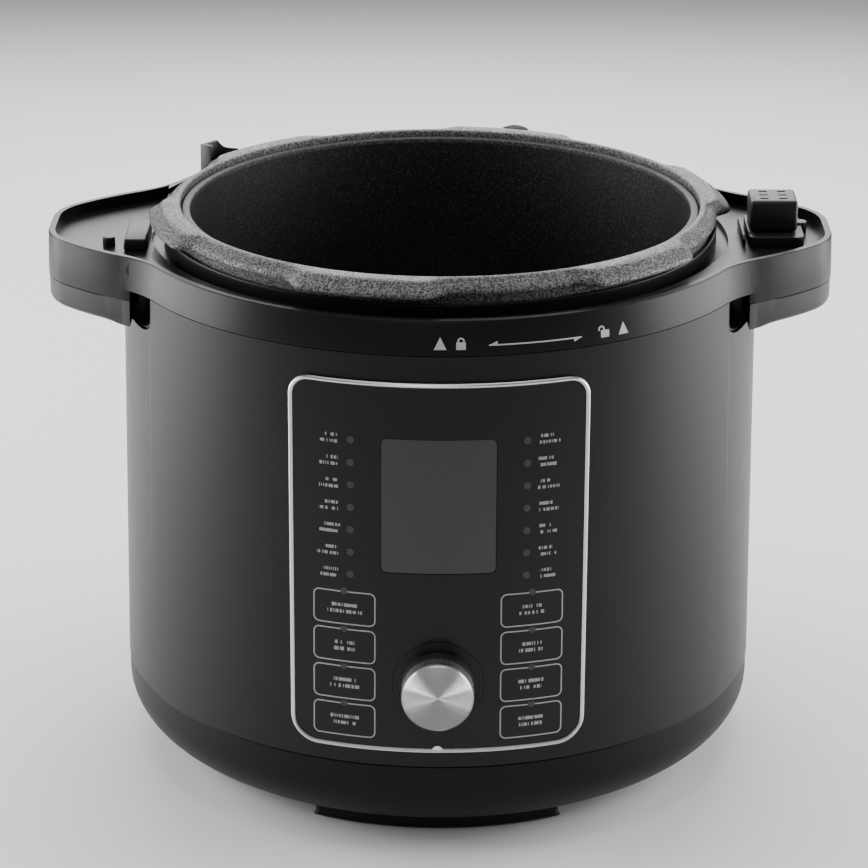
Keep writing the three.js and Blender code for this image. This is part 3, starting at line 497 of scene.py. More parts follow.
PAINT = painted_wall()
PLASTIC = moulded("black_plastic", 0.008, 0.42, shine=0.3)
BASE_PLASTIC = moulded("base_plastic", 0.004, 0.45, shine=0.16)
RING_PLASTIC = printed_ring()
PANEL_FILM = printed_panel()
LENS = plain("lens", 0.022, 0.12)
RUBBER = moulded("rubber", 0.02, 0.8, 0.5, 0.03)
CAST = cast_rim()
COATING = nonstick()
BRUSHED = brushed_face()
BRIGHT_TRIM = plain("bright_trim", 0.6, 0.25, 1.0)
STEEL = plain("steel", 0.42, 0.35, 1.0)
BOARD = plain("board", 0.1, 0.5, 0.0, (0.02, 0.12, 0.05))
COMPONENT = plain("component", 0.05, 0.5)


# ---- Making pieces ----
def only(*pieces):
    """Selects these objects and nothing else."""
    bpy.ops.object.select_all(action="DESELECT")
    for piece in pieces:
        piece.select_set(True)
    bpy.context.view_layer.objects.active = pieces[0]


def edited(piece):
    """Opens a piece in edit mode with all of it selected."""
    only(piece)
    bpy.ops.object.mode_set(mode="EDIT")
    bpy.ops.mesh.select_all(action="SELECT")


def closed_up():
    """Merges doubles, turns the faces outwards and leaves edit mode."""
    bpy.ops.mesh.select_all(action="SELECT")
    bpy.ops.mesh.remove_doubles(threshold=1e-6)
    bpy.ops.mesh.normals_make_consistent(inside=False)
    bpy.ops.object.mode_set(mode="OBJECT")


def eased_step(value, start, end):
    """Goes smoothly from 0 to 1 as a value goes from start to end."""
    share = min(1, max(0, (value - start) / (end - start)))
    return share * share * (3 - 2 * share)


def loop_of(name, points, filled=False, closed=True):
    """A ring of vertices through points in millimetres, filled with a face or left open."""
    bpy.ops.object.select_all(action="DESELECT")
    bpy.ops.mesh.primitive_circle_add(vertices=len(points), fill_type="NGON" if filled else "NOTHING")
    piece = bpy.context.active_object
    piece.name = piece.data.name = name
    for vertex, point in zip(piece.data.vertices, points):
        vertex.co = Vector(point) * MM
    if not closed:
        pick_edges(piece, lambda a, b: {a, b} == {0, len(points) - 1}, by_number=True)
        bpy.ops.mesh.delete(type="EDGE")
        bpy.ops.object.mode_set(mode="OBJECT")
    return piece


def pick_edges(piece, wanted, by_number=False):
    """Opens a piece in edit mode with the wanted edges selected; wanted takes an edge's two ends."""
    only(piece)
    bpy.ops.object.mode_set(mode="EDIT")
    bpy.ops.mesh.select_mode(type="EDGE")
    bpy.ops.mesh.select_all(action="DESELECT")
    bpy.ops.object.mode_set(mode="OBJECT")
    mesh = piece.data
    for edge in mesh.edges:
        a, b = edge.vertices
        if not by_number:
            a, b = mesh.vertices[a].co / MM, mesh.vertices[b].co / MM
        edge.select = wanted(a, b)
    bpy.ops.object.mode_set(mode="EDIT")


def softened(corners, steps=4):
    """An outline whose (across, up, radius) corners are rounded with arcs."""
    points = []
    for i, corner in enumerate(corners):
        here = Vector(corner[:2])
        if len(corner) < 3:
            points.append((here.x, here.y))
            continue
        before = Vector(corners[i - 1][:2]) - here
        after = Vector(corners[(i + 1) % len(corners)][:2]) - here
        half = before.angle(after) / 2
        cut = min(corner[2] / tan(half), 0.49 * before.length, 0.49 * after.length)
        middle = here + (before.normalized() + after.normalized()).normalized() * cut / cos(half)
        start = here + before.normalized() * cut - middle
        end = here + after.normalized() * cut - middle
        sweep = start.angle(end)
        for k in range(steps + 1):
            turn = sweep * k / steps
            point = middle + (start * sin(sweep - turn) + end * sin(turn)) / sin(sweep)
            points.append((point.x, point.y))
    return points


def revolved(name, profile, start=0.0, sweep=360.0, around=AROUND):
    """Spins a (radius, height) outline about +Z, from an angle counted from the front towards +X."""
    first = radians(start - 90)
    points = [(r * cos(first), r * sin(first), z) for r, z in profile]
    on_axis = profile[0][0] == 0 and profile[-1][0] == 0
    piece = loop_of(name, points, closed=not on_axis)
    edited(piece)
    bpy.ops.mesh.spin(steps=max(2, round(around * sweep / 360)), angle=radians(sweep),
                      center=(0, 0, 0), axis=(0, 0, -1))
    if sweep < 360:
        bpy.ops.mesh.select_all(action="SELECT")
        bpy.ops.mesh.remove_doubles(threshold=1e-7)
        bpy.ops.mesh.select_all(action="DESELECT")
        bpy.ops.mesh.select_non_manifold()
        bpy.ops.mesh.edge_face_add()
        bpy.ops.mesh.select_all(action="SELECT")
        bpy.ops.mesh.fill_holes(sides=0)
    closed_up()
    return piece


def prism(name, loop, travel):
    """A filled loop of points pushed along a vector."""
    piece = loop_of(name, loop, filled=True)
    edited(piece)
    bpy.ops.mesh.extrude_region_move(TRANSFORM_OT_translate={"value": Vector(travel) * MM})
    closed_up()
    return piece


def stacked(name, levels):
    """A closed body through (height, outline) levels; each outline has the same points, moved."""
    heights = [z for z, _ in levels]
    first = levels[0][1]
    piece = loop_of(name, [(x, y, heights[0]) for x, y in first], filled=True)
    edited(piece)
    for below, above in zip(heights, heights[1:]):
        bpy.ops.mesh.extrude_region_move(TRANSFORM_OT_translate={"value": (0, 0, (above - below) * MM)})
    bpy.ops.object.mode_set(mode="OBJECT")
    for vertex in piece.data.vertices:
        x, y, z = vertex.co / MM
        number = min(range(len(first)), key=lambda i: hypot(first[i][0] - x, first[i][1] - y))
        height, outline = min(levels, key=lambda level: abs(level[0] - z))
        vertex.co = Vector((*outline[number], height)) * MM
    edited(piece)
    closed_up()
    return piece


def slab(name, outline, bottom, top):
    """An (x, y) outline raised from bottom to top."""
    return stacked(name, [(bottom, outline), (top, outline)])


def block(name, x0, x1, y0, y1, z0, z1):
    bpy.ops.object.select_all(action="DESELECT")
    bpy.ops.mesh.primitive_cube_add(size=1)
    piece = bpy.context.active_object
    piece.name = piece.data.name = name
    for vertex in piece.data.vertices:
        pick = [(x0, x1), (y0, y1), (z0, z1)]
        vertex.co = Vector([pair[part > 0] for pair, part in zip(pick, vertex.co)]) * MM
    return piece


def join(first, *others):
    """Makes one object of several, without merging their solids."""
    only(first, *others)
    bpy.ops.object.join()
    return first


def applied(piece, kind, **settings):
    modifier = piece.modifiers.new(kind.lower(), kind)
    for key, value in settings.items():
        setattr(modifier, key, value)
    only(piece)
    bpy.ops.object.modifier_apply(modifier=modifier.name)
    return piece


def boolean(piece, tool, operation):
    applied(piece, "BOOLEAN", object=tool, operation=operation, solver="EXACT")
    bpy.data.objects.remove(tool)
    return piece


def cut(piece, tool):
    return boolean(piece, tool, "DIFFERENCE")


def fuse(piece, tool):
    return boolean(piece, tool, "UNION")


def keep(piece, tool):
    return boolean(piece, tool, "INTERSECT")


def eased(piece, width, segments=3, angle=35):
    """Rounds every edge sharper than an angle."""
    return applied(piece, "BEVEL", width=width * MM, segments=segments, limit_method="ANGLE",
                   angle_limit=radians(angle), use_clamp_overlap=True)


def copied(piece, name, turn=None):
    """A copy with its own mesh, turned by a matrix about the origin."""
    other = piece.copy()
    other.data = piece.data.copy()
    other.name = other.data.name = name
    bpy.context.collection.objects.link(other)
    if turn is not None:
        other.data.transform(turn)
        if turn.determinant() < 0:
            edited(other)
            closed_up()
    return other


MIRROR_X = Matrix.Scale(-1, 4, (1, 0, 0))


def faced_forward(piece, z):
    """Turns a piece made about +Z to stand along -Y at a height."""
    piece.data.transform(Matrix.Translation((0, 0, z * MM)) @ Matrix.Rotation(pi / 2, 4, "X"))
    return piece


def placed(piece, finish, slot, body, *nodes, angle=35):
    """Finishes a piece: its smooth shading, material, body and the nodes it stands for. The slot argument is not
    used.
    """
    only(piece)
    bpy.ops.object.shade_smooth_by_angle(angle=radians(angle))
    piece.data.materials.clear()
    piece.data.materials.append(finish.material)
    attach(piece, body)
    if nodes:
        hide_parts(*nodes)
    return piece


BODY = "cooker"


# ---- Wall and base ----
def pocket_outline(inset, top):
    """The finger room behind the right grip, seen from the front."""
    x, z = POCKET_X - inset, GRIP_LOW - inset
    return softened([(TIP_X, z), (TIP_X, top), (x, top), (x, z, 6.0)], 8)


def pocket_room(name, inset, half, top):
    loop = [(x, -half, z) for x, z in pocket_outline(inset, top)]
    return prism(name, loop, (0, 2 * half, 0))


def body_wall():
    sheet = 1.2
    wall = revolved("wall", [
        (BODY_LOW_R - sheet, BODY_LOW), (BODY_LOW_R, BODY_LOW),
        (BODY_R, BODY_TOP), (BODY_R - sheet, BODY_TOP)], around=192)
    half = sqrt(BODY_R ** 2 - POCKET_X ** 2)
    right = pocket_room("room", 0.2, half, BODY_TOP + 3)
    left = copied(right, "room", MIRROR_X)
    cut(wall, join(right, left))
    placed(wall, PAINT, "satin_black_paint", BODY, "body_shell")


def finger_pockets():
    half = sqrt(BODY_R ** 2 - POCKET_X ** 2) - 1
    liner = pocket_room("finger_liner", 1.2, half, BODY_TOP)
    cut(liner, pocket_room("room", 0, half + 5, BODY_TOP + 2))
    skin = BODY_R - 1.5
    keep(liner, revolved("skin", [(0, GRIP_LOW - 9), (skin, GRIP_LOW - 9), (skin, BODY_TOP + 5),
                                  (0, BODY_TOP + 5)]))
    left = copied(liner, "finger_liner_left", MIRROR_X)
    placed(liner, PLASTIC, "black_plastic", BODY, "finger_pocket_right")
    placed(left, PLASTIC, "black_plastic", BODY, "finger_pocket_left")


BASE_CURVE_R = 37
BASE_CURVE_H = 26.5
BASE_WALL = 2.5


def base_curve(inset, steps=14):
    points = []
    for i in range(steps + 1):
        turn = pi / 2 * (1 - i / steps)
        r = BASE_R - BASE_CURVE_R + (BASE_CURVE_R - inset) * cos(turn)
        points.append((r, BASE_LOW + BASE_CURVE_H - (BASE_CURVE_H - inset) * sin(turn)))
    return points


def base_cover():
    outer = [*base_curve(0), (BASE_R, BASE_TOP - 0.5), (BASE_R - 0.5, BASE_TOP)]
    inner = [*base_curve(BASE_WALL), (BASE_R - BASE_WALL, BASE_TOP)][::-1]
    cover = revolved("base", [(0, BASE_LOW), *outer, *inner, (0, BASE_LOW + BASE_WALL)], around=192)
    slots = []
    for i in range(8):
        slot = block("slot", -2, 2, -58, -32, BASE_LOW - 1, BASE_LOW + BASE_WALL + 1)
        slot.data.transform(Matrix.Rotation(radians(45 * (i + 0.5)), 4, "Z"))
        slots.append(slot)
    x0, x1 = low("power_inlet", 0) - SEAM, high("power_inlet", 0) + SEAM
    z0, z1 = low("power_inlet") - SEAM, high("power_inlet") + SEAM
    slots.append(block("inlet_opening", x0, x1, BASE_R - 30, BASE_R + 6, z0, z1))
    for i in range(1, 5):
        (ax, ay, _), (bx, by, _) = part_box(f"base_screw_{i}")
        well = revolved("well", [(0, BASE_LOW - 1), (3.9, BASE_LOW - 1), (3.9, BASE_LOW + 4), (0, BASE_LOW + 4)],
                        around=32)
        well.data.transform(Matrix.Translation(((ax + bx) / 2, (ay + by) / 2, 0)))
        slots.append(well)
    cut(cover, join(*slots))
    placed(cover, BASE_PLASTIC, "black_plastic", BODY, "base_cover")


def feet():
    outer_r = -low("foot_front", 1)
    inner_r = outer_r - 22
    half = asin(high("foot_front", 0) / outer_r)
    steps = 14
    angles = [half * (2 * i / steps - 1) for i in range(steps + 1)]
    outer = [(outer_r * sin(a), -outer_r * cos(a)) for a in angles]
    inner = [(inner_r * sin(a), -inner_r * cos(a)) for a in reversed(angles)]
    foot = slab("foot_front", [*outer, *inner], low("foot_front"), BASE_LOW + 13)
    bottom = low("foot_front") + 0.01
    pick_edges(foot, lambda a, b: a.z < bottom and b.z < bottom)
    bpy.ops.mesh.bevel(offset=2.2 * MM, segments=4)
    closed_up()
    corner = outer_r * 0.96
    pick_edges(foot, lambda a, b: abs(a.z - b.z) > 5 and min(hypot(a.x, a.y), hypot(b.x, b.y)) > corner
               and abs(atan2(a.x, -a.y)) > half * 0.98)
    bpy.ops.mesh.bevel(offset=3 * MM, segments=4)
    closed_up()
    cut(foot, revolved("shadow", [(0, BASE_LOW - 0.2), *[(r + 0.2, z - 0.2) for r, z in base_curve(0)],
                                  (0, BASE_LOW + BASE_CURVE_H)], around=96))
    for i, name in enumerate(("right", "rear", "left")):
        turn = Matrix.Rotation(radians(90 * (i + 1)), 4, "Z")
        placed(copied(foot, f"foot_{name}", turn), BASE_PLASTIC, "black_plastic", BODY, f"foot_{name}")
    placed(foot, BASE_PLASTIC, "black_plastic", BODY, "foot_front")


# ---- Pots ----
LUG_MIDDLES = (-75, -15, 44, 103, 164, -136)
LUG_HALF = 14.3
LUG_EASE = 2.4


def lug_share(x, y):
    """1 on a lug, 0 between lugs, easing at a lug's ends."""
    angle = degrees(atan2(x, -y))
    nearest = min(abs((angle - middle + 180) % 360 - 180) for middle in LUG_MIDDLES)
    return 1 - eased_step(nearest, LUG_HALF - LUG_EASE, LUG_HALF + LUG_EASE)


def lock_pot():
    outside = BORE_R + 3
    inside = low("outer_pot") + 3
    under = RIM_TOP - 6.2
    top = RIM_TOP
    # Each pair is the rim between lugs, and how much further out and up it is on a lug.
    rim = [
        ((NECK_R, under), (0, 0)), ((NECK_R + 1.3, under), (6, 0)), ((NECK_R + 2.1, under + 0.1), (6.4, 0)),
        ((NECK_R + 2.4, under + 0.7), (6.4, 0)), ((NECK_R + 2.2, under + 2.0), (6.4, -0.3)),
        ((NECK_R + 1.5, under + 3.2), (6.2, -0.6)), ((NECK_R + 0.3, top - 2.0), (5.8, -0.7)),
        ((NECK_R - 1.1, top - 1.5), (5.6, -0.2)), ((NECK_R - 1.9, top - 0.9), (5.5, 0.1)),
        ((NECK_R - 2.3, top - 0.3), (5.3, 0.1)), ((NECK_R - 2.8, top), (5.2, 0)),
        ((BORE_R + 1.0, top), (0, 0)), ((BORE_R + 0.3, top - 0.25), (0, 0)), ((BORE_R, top - 0.9), (0, 0))]
    moves = {(round(r, 2), round(z, 2)): move for (r, z), move in rim}
    pot = revolved("pot_casing", [
        *softened([(90, inside - 3), (outside, inside - 3, 17), (outside, TRAY_FLOOR - 7),
                   (NECK_R, TRAY_FLOOR - 3)]),
        *[point for point, _ in rim],
        *softened([(BORE_R, top - 2), (BORE_R, inside, 16), (90, inside)])], around=360)
    for vertex in pot.data.vertices:
        x, y, z = vertex.co / MM
        r = hypot(x, y)
        out, up = moves.get((round(r, 2), round(z, 2)), (0, 0))
        share = lug_share(x, y)
        grown = (r + out * share) / r
        vertex.co = Vector((x * grown, y * grown, z + up * share)) * MM
    placed(pot, CAST, "cast_aluminium", BODY, "outer_pot", angle=50)


def cooking_pot():
    wall = 1.6
    r = POT_RIM_R - 2
    inside = r - wall
    pot = revolved("cooking_pot", softened([
        (0, POT_LOW), (r, POT_LOW, 16), (r, POT_TOP - 3.4, 0.8), (POT_RIM_R, POT_TOP - 2.6, 0.8),
        (POT_RIM_R, POT_TOP, 1.0), (inside, POT_TOP, 0.9), (inside, POT_LOW + 2.5, 15), (0, POT_LOW + 2.5)],
        8), around=192)
    placed(pot, COATING, "nonstick_coating", "inner_pot", "inner_pot")


# ---- Top ring and grips ----
def curve_points(a, control, b, steps=10):
    """Points of a quadratic curve after its start."""
    return [tuple((1 - t) ** 2 * p + 2 * t * (1 - t) * q + t ** 2 * r
                  for p, q, r in zip(a, control, b)) for t in (k / steps for k in range(1, steps + 1))]


def front_quarter():
    """The ring's outline from its front to the tip of the right grip."""
    root_angle = radians(60)
    arc_steps = 30
    arc = [(BODY_R * sin(root_angle * i / arc_steps), -BODY_R * cos(root_angle * i / arc_steps))
           for i in range(arc_steps + 1)]
    flank = (BODY_R - 2, -49.8)
    shoulder = (TIP_X - 6.8, -27.5)
    tip = (TIP_X, -9)
    return [*arc, *curve_points(arc[-1], (BODY_R - 12.7, -57.2), flank),
            *curve_points(flank, (BODY_R + 13, -40.5), shoulder),
            *curve_points(shoulder, (TIP_X - 0.3, -19.5), tip)]


def ring_outline(inset=0.0):
    quarter = front_quarter()
    right = [*quarter, *[(x, -y) for x, y in reversed(quarter)]]
    left = [(-x, y) for x, y in reversed(right)]
    return inset_loop([*right[:-1], *left[:-1]], inset)


def inset_loop(loop, distance):
    """A counter-clockwise loop moved inwards by a distance, or by one for each point."""
    distances = distance if isinstance(distance, list) else [distance] * len(loop)
    moved = []
    for i, ((x, y), step) in enumerate(zip(loop, distances)):
        before, after = loop[i - 1], loop[(i + 1) % len(loop)]
        along = Vector((after[0] - before[0], after[1] - before[1])).normalized()
        moved.append((x - along.y * step, y + along.x * step))
    return moved


GRIP_INNER_X = TIP_X - 24


def grip_flank():
    """The right grip's outer side: the ring's outline from the root round the tip."""
    quarter = [point for point in front_quarter() if point[0] > BODY_R - 5.4]
    return [*quarter, *[(x, -y) for x, y in reversed(quarter)]]


def grip_bow():
    """The right grip's inner side, a long bow towards the finger gap."""
    start = (BODY_R - 6.4, 52.3)
    bow = [start, *curve_points(start, (GRIP_INNER_X - 1, 44), (GRIP_INNER_X, 24), 8)]
    return [*bow, *[(x, -y) for x, y in reversed(bow)]]


def ring_section(*corners):
    return revolved("tool", list(corners))


def top_ring():
    foot = ring_outline()
    lean = [1.6 - 1.2 * eased_step(abs(x), 118, 136) for x, _ in foot]
    ring = stacked("ring", [
        (RING_LOW, foot), (RING_TOP - 0.9, inset_loop(foot, [0.93 * step for step in lean])),
        (RING_TOP - 0.3, inset_loop(foot, [step + 0.15 for step in lean])),
        (RING_TOP, inset_loop(foot, [step + 0.5 for step in lean]))])
    under = TRAY_FLOOR - 4.5
    bar = [*grip_flank(), *grip_bow()]
    skirt = stacked("skirt", [(SKIRT_LOW, bar), (RING_LOW, bar), (TRAY_FLOOR - 1, inset_loop(bar, 0.5))])
    cut(ring, slab("hollow", ring_outline(2.6), RING_LOW - 2, under))
    fuse(ring, join(skirt, copied(skirt, "skirt", MIRROR_X)))
    lip = softened([(COLLAR_R, under), (COLLAR_R + 1.6, under), (COLLAR_R + 1.6, LIP_TOP, 0.5),
                    (COLLAR_R, LIP_TOP, 0.5)])
    fuse(ring, revolved("lip", lip))
    above = RIM_TOP + 9
    tray = slab("tray", ring_outline(3.2), TRAY_FLOOR, above)
    side = CHANNEL_R - 3
    keep(tray, join(block("side", side, TIP_X + 5, -90, 90, 0, above + 9),
                    block("side", -TIP_X - 5, -side, -90, 90, 0, above + 9)))
    cut(tray, ring_section((0, 0), (CHANNEL_R - 1, 0), (CHANNEL_R - 1, above + 20), (0, above + 20)))
    cut(ring, tray)
    cut(ring, ring_section((0, 0), (COLLAR_R, 0), (COLLAR_R, above), (0, above)))
    deck = RING_TOP - 2
    cut(ring, ring_section((CHANNEL_R - 1, deck), (BODY_R - 4.5, deck), (BODY_R - 3.8, above),
                           (CHANNEL_R - 1, above)))
    cut(ring, ring_section((COLLAR_R + 1.6, TRAY_FLOOR - 2), (CHANNEL_R, TRAY_FLOOR - 2),
                           (CHANNEL_R + 0.4, above), (COLLAR_R + 1.6, above)))
    placed(ring, RING_PLASTIC, "black_plastic", BODY, "top_ring")


def grip_covers():
    flank = grip_flank()
    bar = inset_loop([*flank, *grip_bow()], 0.3)
    reach = [eased_step(x, 131, 143) if i < len(flank) else 0.0 for i, (x, _) in enumerate(bar)]

    def drawn(depth):
        return inset_loop(bar, [depth * share for share in reach])

    rounding = 3.4
    turns = [pi / 2 * k / 6 for k in range(7)]
    levels = [(GRIP_LOW + rounding * (1 - cos(turn)), drawn(rounding * (1 - sin(turn)))) for turn in turns]
    cover = stacked("grip_cover", [*levels, (GRIP_TOP - 0.4, bar), (GRIP_TOP, drawn(0.4))])
    left = copied(cover, "grip_cover_left", MIRROR_X)
    placed(cover, PLASTIC, "black_plastic", BODY, "handle_cover_right")
    placed(left, PLASTIC, "black_plastic", BODY, "handle_cover_left")


# ---- What stands on the ring ----
def box_block(name, node, finish, ease, body=BODY, slot="black_plastic", top_inset=0.0):
    """A block the size of a node, with eased edges and a slightly narrower top."""
    (x0, y0, z0), (x1, y1, z1) = (Vector(corner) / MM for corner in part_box(node))
    piece = block(name, x0, x1, y0, y1, z0, z1)
    for vertex in piece.data.vertices:
        if vertex.co.z / MM > (z0 + z1) / 2:
            vertex.co.x += top_inset * MM * (1 if vertex.co.x / MM < (x0 + x1) / 2 else -1)
            vertex.co.y += top_inset * MM * (1 if vertex.co.y / MM < (y0 + y1) / 2 else -1)
    eased(piece, ease, 3)
    return placed(piece, finish, slot, body, node)


def socket_foot():
    """The socket's foot: a round-cornered plinth with a small lug, and two upright plates before it."""
    (x0, y0, z0), (_, y1, z1) = (Vector(corner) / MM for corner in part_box("socket_base"))
    x1 = x0 + 23
    top = z1 - 0.8
    plinth = slab("socket_foot", softened([(x0, y0, 1.5), (x1, y0, 3.5), (x1, y1, 3.5), (x0, y1, 1.5)]), z0, top)
    lug = revolved("lug", [(0, z0), (3, z0), (3, z1), (0, z1)], around=32)
    lug.data.transform(Matrix.Translation(Vector((x1 - 0.2, 5, 0)) * MM))
    fuse(plinth, lug)
    eased(plinth, 0.7, 3)
    placed(plinth, PLASTIC, "black_plastic", BODY, "socket_base")
    (a0, b0, c0), (a1, b1, c1) = (Vector(corner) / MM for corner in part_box("socket_flange"))
    plates = []
    for shift, half, rise in ((-0.6, b1, 0.0), (1.9, b1 - 2, 0.7)):
        face = [(-half, c0), (half, c0), (half, c1 + rise - 1.5), (half - 2, c1 + rise), (-half + 2, c1 + rise),
                (-half, c1 + rise - 1.5)]
        plate = prism("socket_plate", [(a0 + shift, y, z) for y, z in face], (1.3, 0, 0))
        plates.append(eased(plate, 0.35, 2))
    placed(join(*plates), PLASTIC, "black_plastic", BODY, "socket_flange")


def tray_pieces():
    box_block("lid_guide", "lid_guide_block", PLASTIC, 0.7, top_inset=0.4)
    socket_foot()
    (x0, y0, z0), (x1, y1, z1) = (Vector(corner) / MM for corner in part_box("socket_tower"))
    tower = block("socket_tower", x0, x1, y0, y1, z0, z1)
    eased(tower, 1.5, 4)
    middle = (x0 + x1) / 2
    slots = [block("slot", x - 1.8, x + 1.8, y - 0.8, y + 0.8, z1 - 4, z1 + 2)
             for x in (middle - 4, middle + 4) for y in (-5.4, 0, 5.4)]
    cut(tower, join(*slots))
    placed(tower, PLASTIC, "black_plastic", BODY, "socket_tower")

    (x0, y0, z0), (x1, y1, z1) = (Vector(corner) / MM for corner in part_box("lid_switch_post"))
    post = revolved("lid_switch_post", softened([
        (0, z0), (2.2, z0), (2.2, z0 + 1.8), (4.2, z0 + 1.8), (4.2, z0 + 3), (2.8, z0 + 3),
        (2.6, z1, 0.7), (0, z1)]), around=40)
    post.data.transform(Matrix.Translation(Vector(((x0 + x1) / 2, (y0 + y1) / 2, 0)) * MM))
    placed(post, PLASTIC, "black_plastic", "lid_switch_post", "lid_switch_post")


def rear_pieces():
    onto = RING_TOP + SEAM
    tall = 13
    out = BODY_R - 2.6
    plan = [(7.5, -out + 6.4), (7.5, -out), (-2.6, -out), (-6.6, -out + 2.6), (-9.6, -out + 7.6),
            (-8.1, -out + 8.4), (-5.4, -out + 3.8), (-2.2, -out + 1.8), (5.7, -out + 1.8), (5.7, -out + 6.4)]
    cup = slab("stop_bracket", plan, onto, onto + tall)
    over = [(-1.2, tall + 1), (-2.4, tall - 0.2), (-3.4, tall - 1.7), (-4.8, tall - 3.2),
            (-6.6, tall - 3.9), (-12, tall - 4.2), (-12, tall + 1)]
    cut(cup, prism("over", [(x, -out - 2, onto + z) for x, z in over], (0, 14, 0)))
    eased(cup, 0.5, 2)
    cup.data.transform(Matrix.Rotation(radians(-129), 4, "Z"))
    placed(cup, PLASTIC, "black_plastic", BODY, "lid_stop_bracket")

    stud = revolved("rest_stud", softened([
        (0, onto), (2.1, onto), (2.1, onto + 4.8, 0.5), (6.9, onto + 5.6, 0.8), (6.2, onto + 7.3, 1.6),
        (3.2, onto + 8.4, 1.5), (0, onto + 8.5)]), around=SMALL_AROUND)
    (x0, y0, _), (x1, y1, _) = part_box("lid_rest_stud")
    stud.data.transform(Matrix.Translation(((x0 + x1) / 2, (y0 + y1) / 2, 0)))
    placed(stud, RUBBER, "rubber_black", BODY, "lid_rest_stud")


# ---- Control panel ----
def rounded_box(half, bottom, top, rounding, steps=8):
    return softened([(-half, bottom, rounding[0]), (half, bottom, rounding[0]),
                     (half, top, rounding[1]), (-half, top, rounding[1])], steps)


def on_wall(name, outline, inner, outer):
    """The part of the wall's surface, between two offsets, behind a front outline."""
    z0, z1 = PANEL_LOW - 5, PANEL_TOP + 5
    sleeve = revolved(name, [
        (wall_r(z0) + inner, z0), (wall_r(z0) + outer, z0),
        (wall_r(z1) + outer, z1), (wall_r(z1) + inner, z1)], -36, 72, 480)
    front = -BODY_R - 30
    return keep(sleeve, prism("outline", [(x, front, z) for x, z in outline], (0, BODY_R / 2 + 30, 0)))


PANEL_ROUNDS = (10.5, 7.5)
FILM_IN = 0.5
FILM_OUT = 1.2


def front_hole(outline):
    return prism("hole", [(x, -BODY_R - 30, z) for x, z in outline], (0, BODY_R / 2 + 30, 0))


def circle_outline(radius, z, steps=64):
    return [(radius * cos(2 * pi * i / steps), z + radius * sin(2 * pi * i / steps)) for i in range(steps)]


def panel():
    edge = 1.0
    film = on_wall("panel_film", rounded_box(
        PANEL_HALF - edge, PANEL_LOW + edge, PANEL_TOP - edge, (9.5, 6.5)), FILM_IN, FILM_OUT)
    window = rounded_box(WINDOW_HALF, WINDOW_LOW, WINDOW_TOP, (2.2, 2.2), 5)
    gap = rounded_box(WINDOW_HALF + 0.25, WINDOW_LOW - 0.25, WINDOW_TOP + 0.25, (2.4, 2.4), 5)
    cut(film, front_hole(gap))
    cut(film, front_hole(circle_outline(WELL_R, KNOB_Z)))
    placed(film, PANEL_FILM, "gloss_black", BODY, "panel_overlay", "panel_carrier")
    lens = on_wall("lens", window, FILM_IN, FILM_OUT - 0.15)
    placed(lens, LENS, "gloss_black", BODY, "display_lens")

    trim = panel_trim()
    placed(trim, BRIGHT_TRIM, "brushed_aluminium", BODY, "panel_frame")


def panel_trim():
    """A half-round bright line along the panel's edge, with a small index at its lower middle."""
    outline = rounded_box(PANEL_HALF - 1.0, PANEL_LOW + 1.0, PANEL_TOP - 1.0, PANEL_ROUNDS, 12)
    path = []
    for i, (x, z) in enumerate(outline):
        nx, nz = outline[(i + 1) % len(outline)]
        count = max(1, round(hypot(nx - x, nz - z) / 3))
        path += [(x + (nx - x) * k / count, z + (nz - z) * k / count) for k in range(count)]
    points = []
    for x, z in path:
        r = wall_r(z) + FILM_OUT - 0.1
        points.append((x, -sqrt(r * r - x * x), z))
    trim = loop_of("panel_trim", points)
    bpy.ops.object.convert(target="CURVE")
    trim.data.bevel_depth = 0.95 * MM
    trim.data.bevel_resolution = 3
    only(trim)
    bpy.ops.object.convert(target="MESH")
    edited(trim)
    closed_up()
    foot = PANEL_LOW + 1
    index = on_wall("index", [(2.3 * cos(pi * k / 16), foot + 2.3 * sin(pi * k / 16)) for k in range(17)],
                    FILM_OUT - 0.2, FILM_OUT + 0.7)
    return join(trim, index)


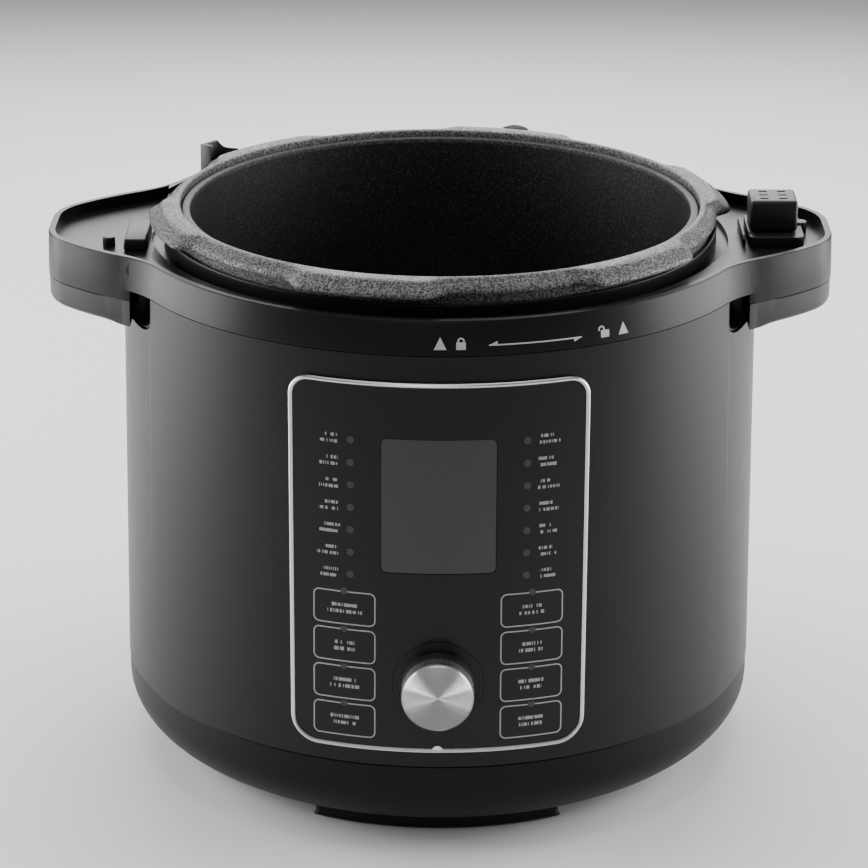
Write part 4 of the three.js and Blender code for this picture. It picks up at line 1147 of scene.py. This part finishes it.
def knob():
    face = KNOB_FACE
    foot = face - KNOB_LENGTH
    inner = KNOB_R - 1
    cap = revolved("knob_cap", softened([
        (0, face - 1.3), (inner, face - 1.3), (inner, foot), (KNOB_R, foot, 0.3), (KNOB_R, face, 1.0), (0, face)]),
        around=96)
    placed(faced_forward(cap, KNOB_Z), BRUSHED, "brushed_aluminium", "knob", "knob_cap")
    core = revolved("knob_core", [(3.2, foot + 0.6), (inner - 0.3, foot + 0.6), (inner - 0.3, face - 1.6),
                                  (3.2, face - 1.6)], around=96)
    placed(faced_forward(core, KNOB_Z), PLASTIC, "black_plastic", "knob", "knob_core")
    well = on_wall("knob_well", circle_outline(WELL_R - 0.2, KNOB_Z), FILM_IN, FILM_OUT)
    cut(well, front_hole(circle_outline(WELL_R - 1.3, KNOB_Z)))
    floor = on_wall("well_floor", circle_outline(WELL_R - 0.5, KNOB_Z), FILM_IN - 0.3, FILM_OUT - 0.5)
    placed(join(well, floor), PLASTIC, "black_plastic", BODY, "knob_well")


KNOB_LENGTH = high("knob_cap", 1) - low("knob_cap", 1)


# ---- Nodes that keep their CAD shape ----
def kept_nodes():
    finishes = {
        STEEL: ["heat_shield", "heater_element", "sensor_holder", "sensor_spring", "thermal_fuse",
                "encoder_shaft", "lid_switch_spring",
                *[f"base_screw_{i}" for i in range(1, 5)],
                *[f"handle_screw_{side}_{end}" for side in ("left", "right") for end in ("front", "rear")]],
        CAST: ["heating_plate", "sensor_cap"],
        BOARD: ["power_board", "control_board"],
        COMPONENT: ["power_relay", "power_transformer", "power_capacitor", "pressure_switch",
                    "display_module", "encoder_body", "lid_switch"],
        PLASTIC: ["power_inlet"],
        RUBBER: [f"foot_pad_{side}" for side in ("front", "right", "rear", "left")],
    }
    for finish, names in finishes.items():
        for name in names:
            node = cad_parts[name]
            node.data.materials.clear()
            node.data.materials.append(finish.material)


def floor():
    bpy.ops.object.select_all(action="DESELECT")
    bpy.ops.mesh.primitive_plane_add(size=12)
    ground = bpy.context.active_object
    ground.name = "floor"
    pale = Finish("pale_floor", grey(0.86), 0.7)
    ground.data.materials.append(pale.material)


floor()
body_wall()
finger_pockets()
base_cover()
feet()
lock_pot()
cooking_pot()
top_ring()
grip_covers()
tray_pieces()
rear_pieces()
panel()
knob()
kept_nodes()
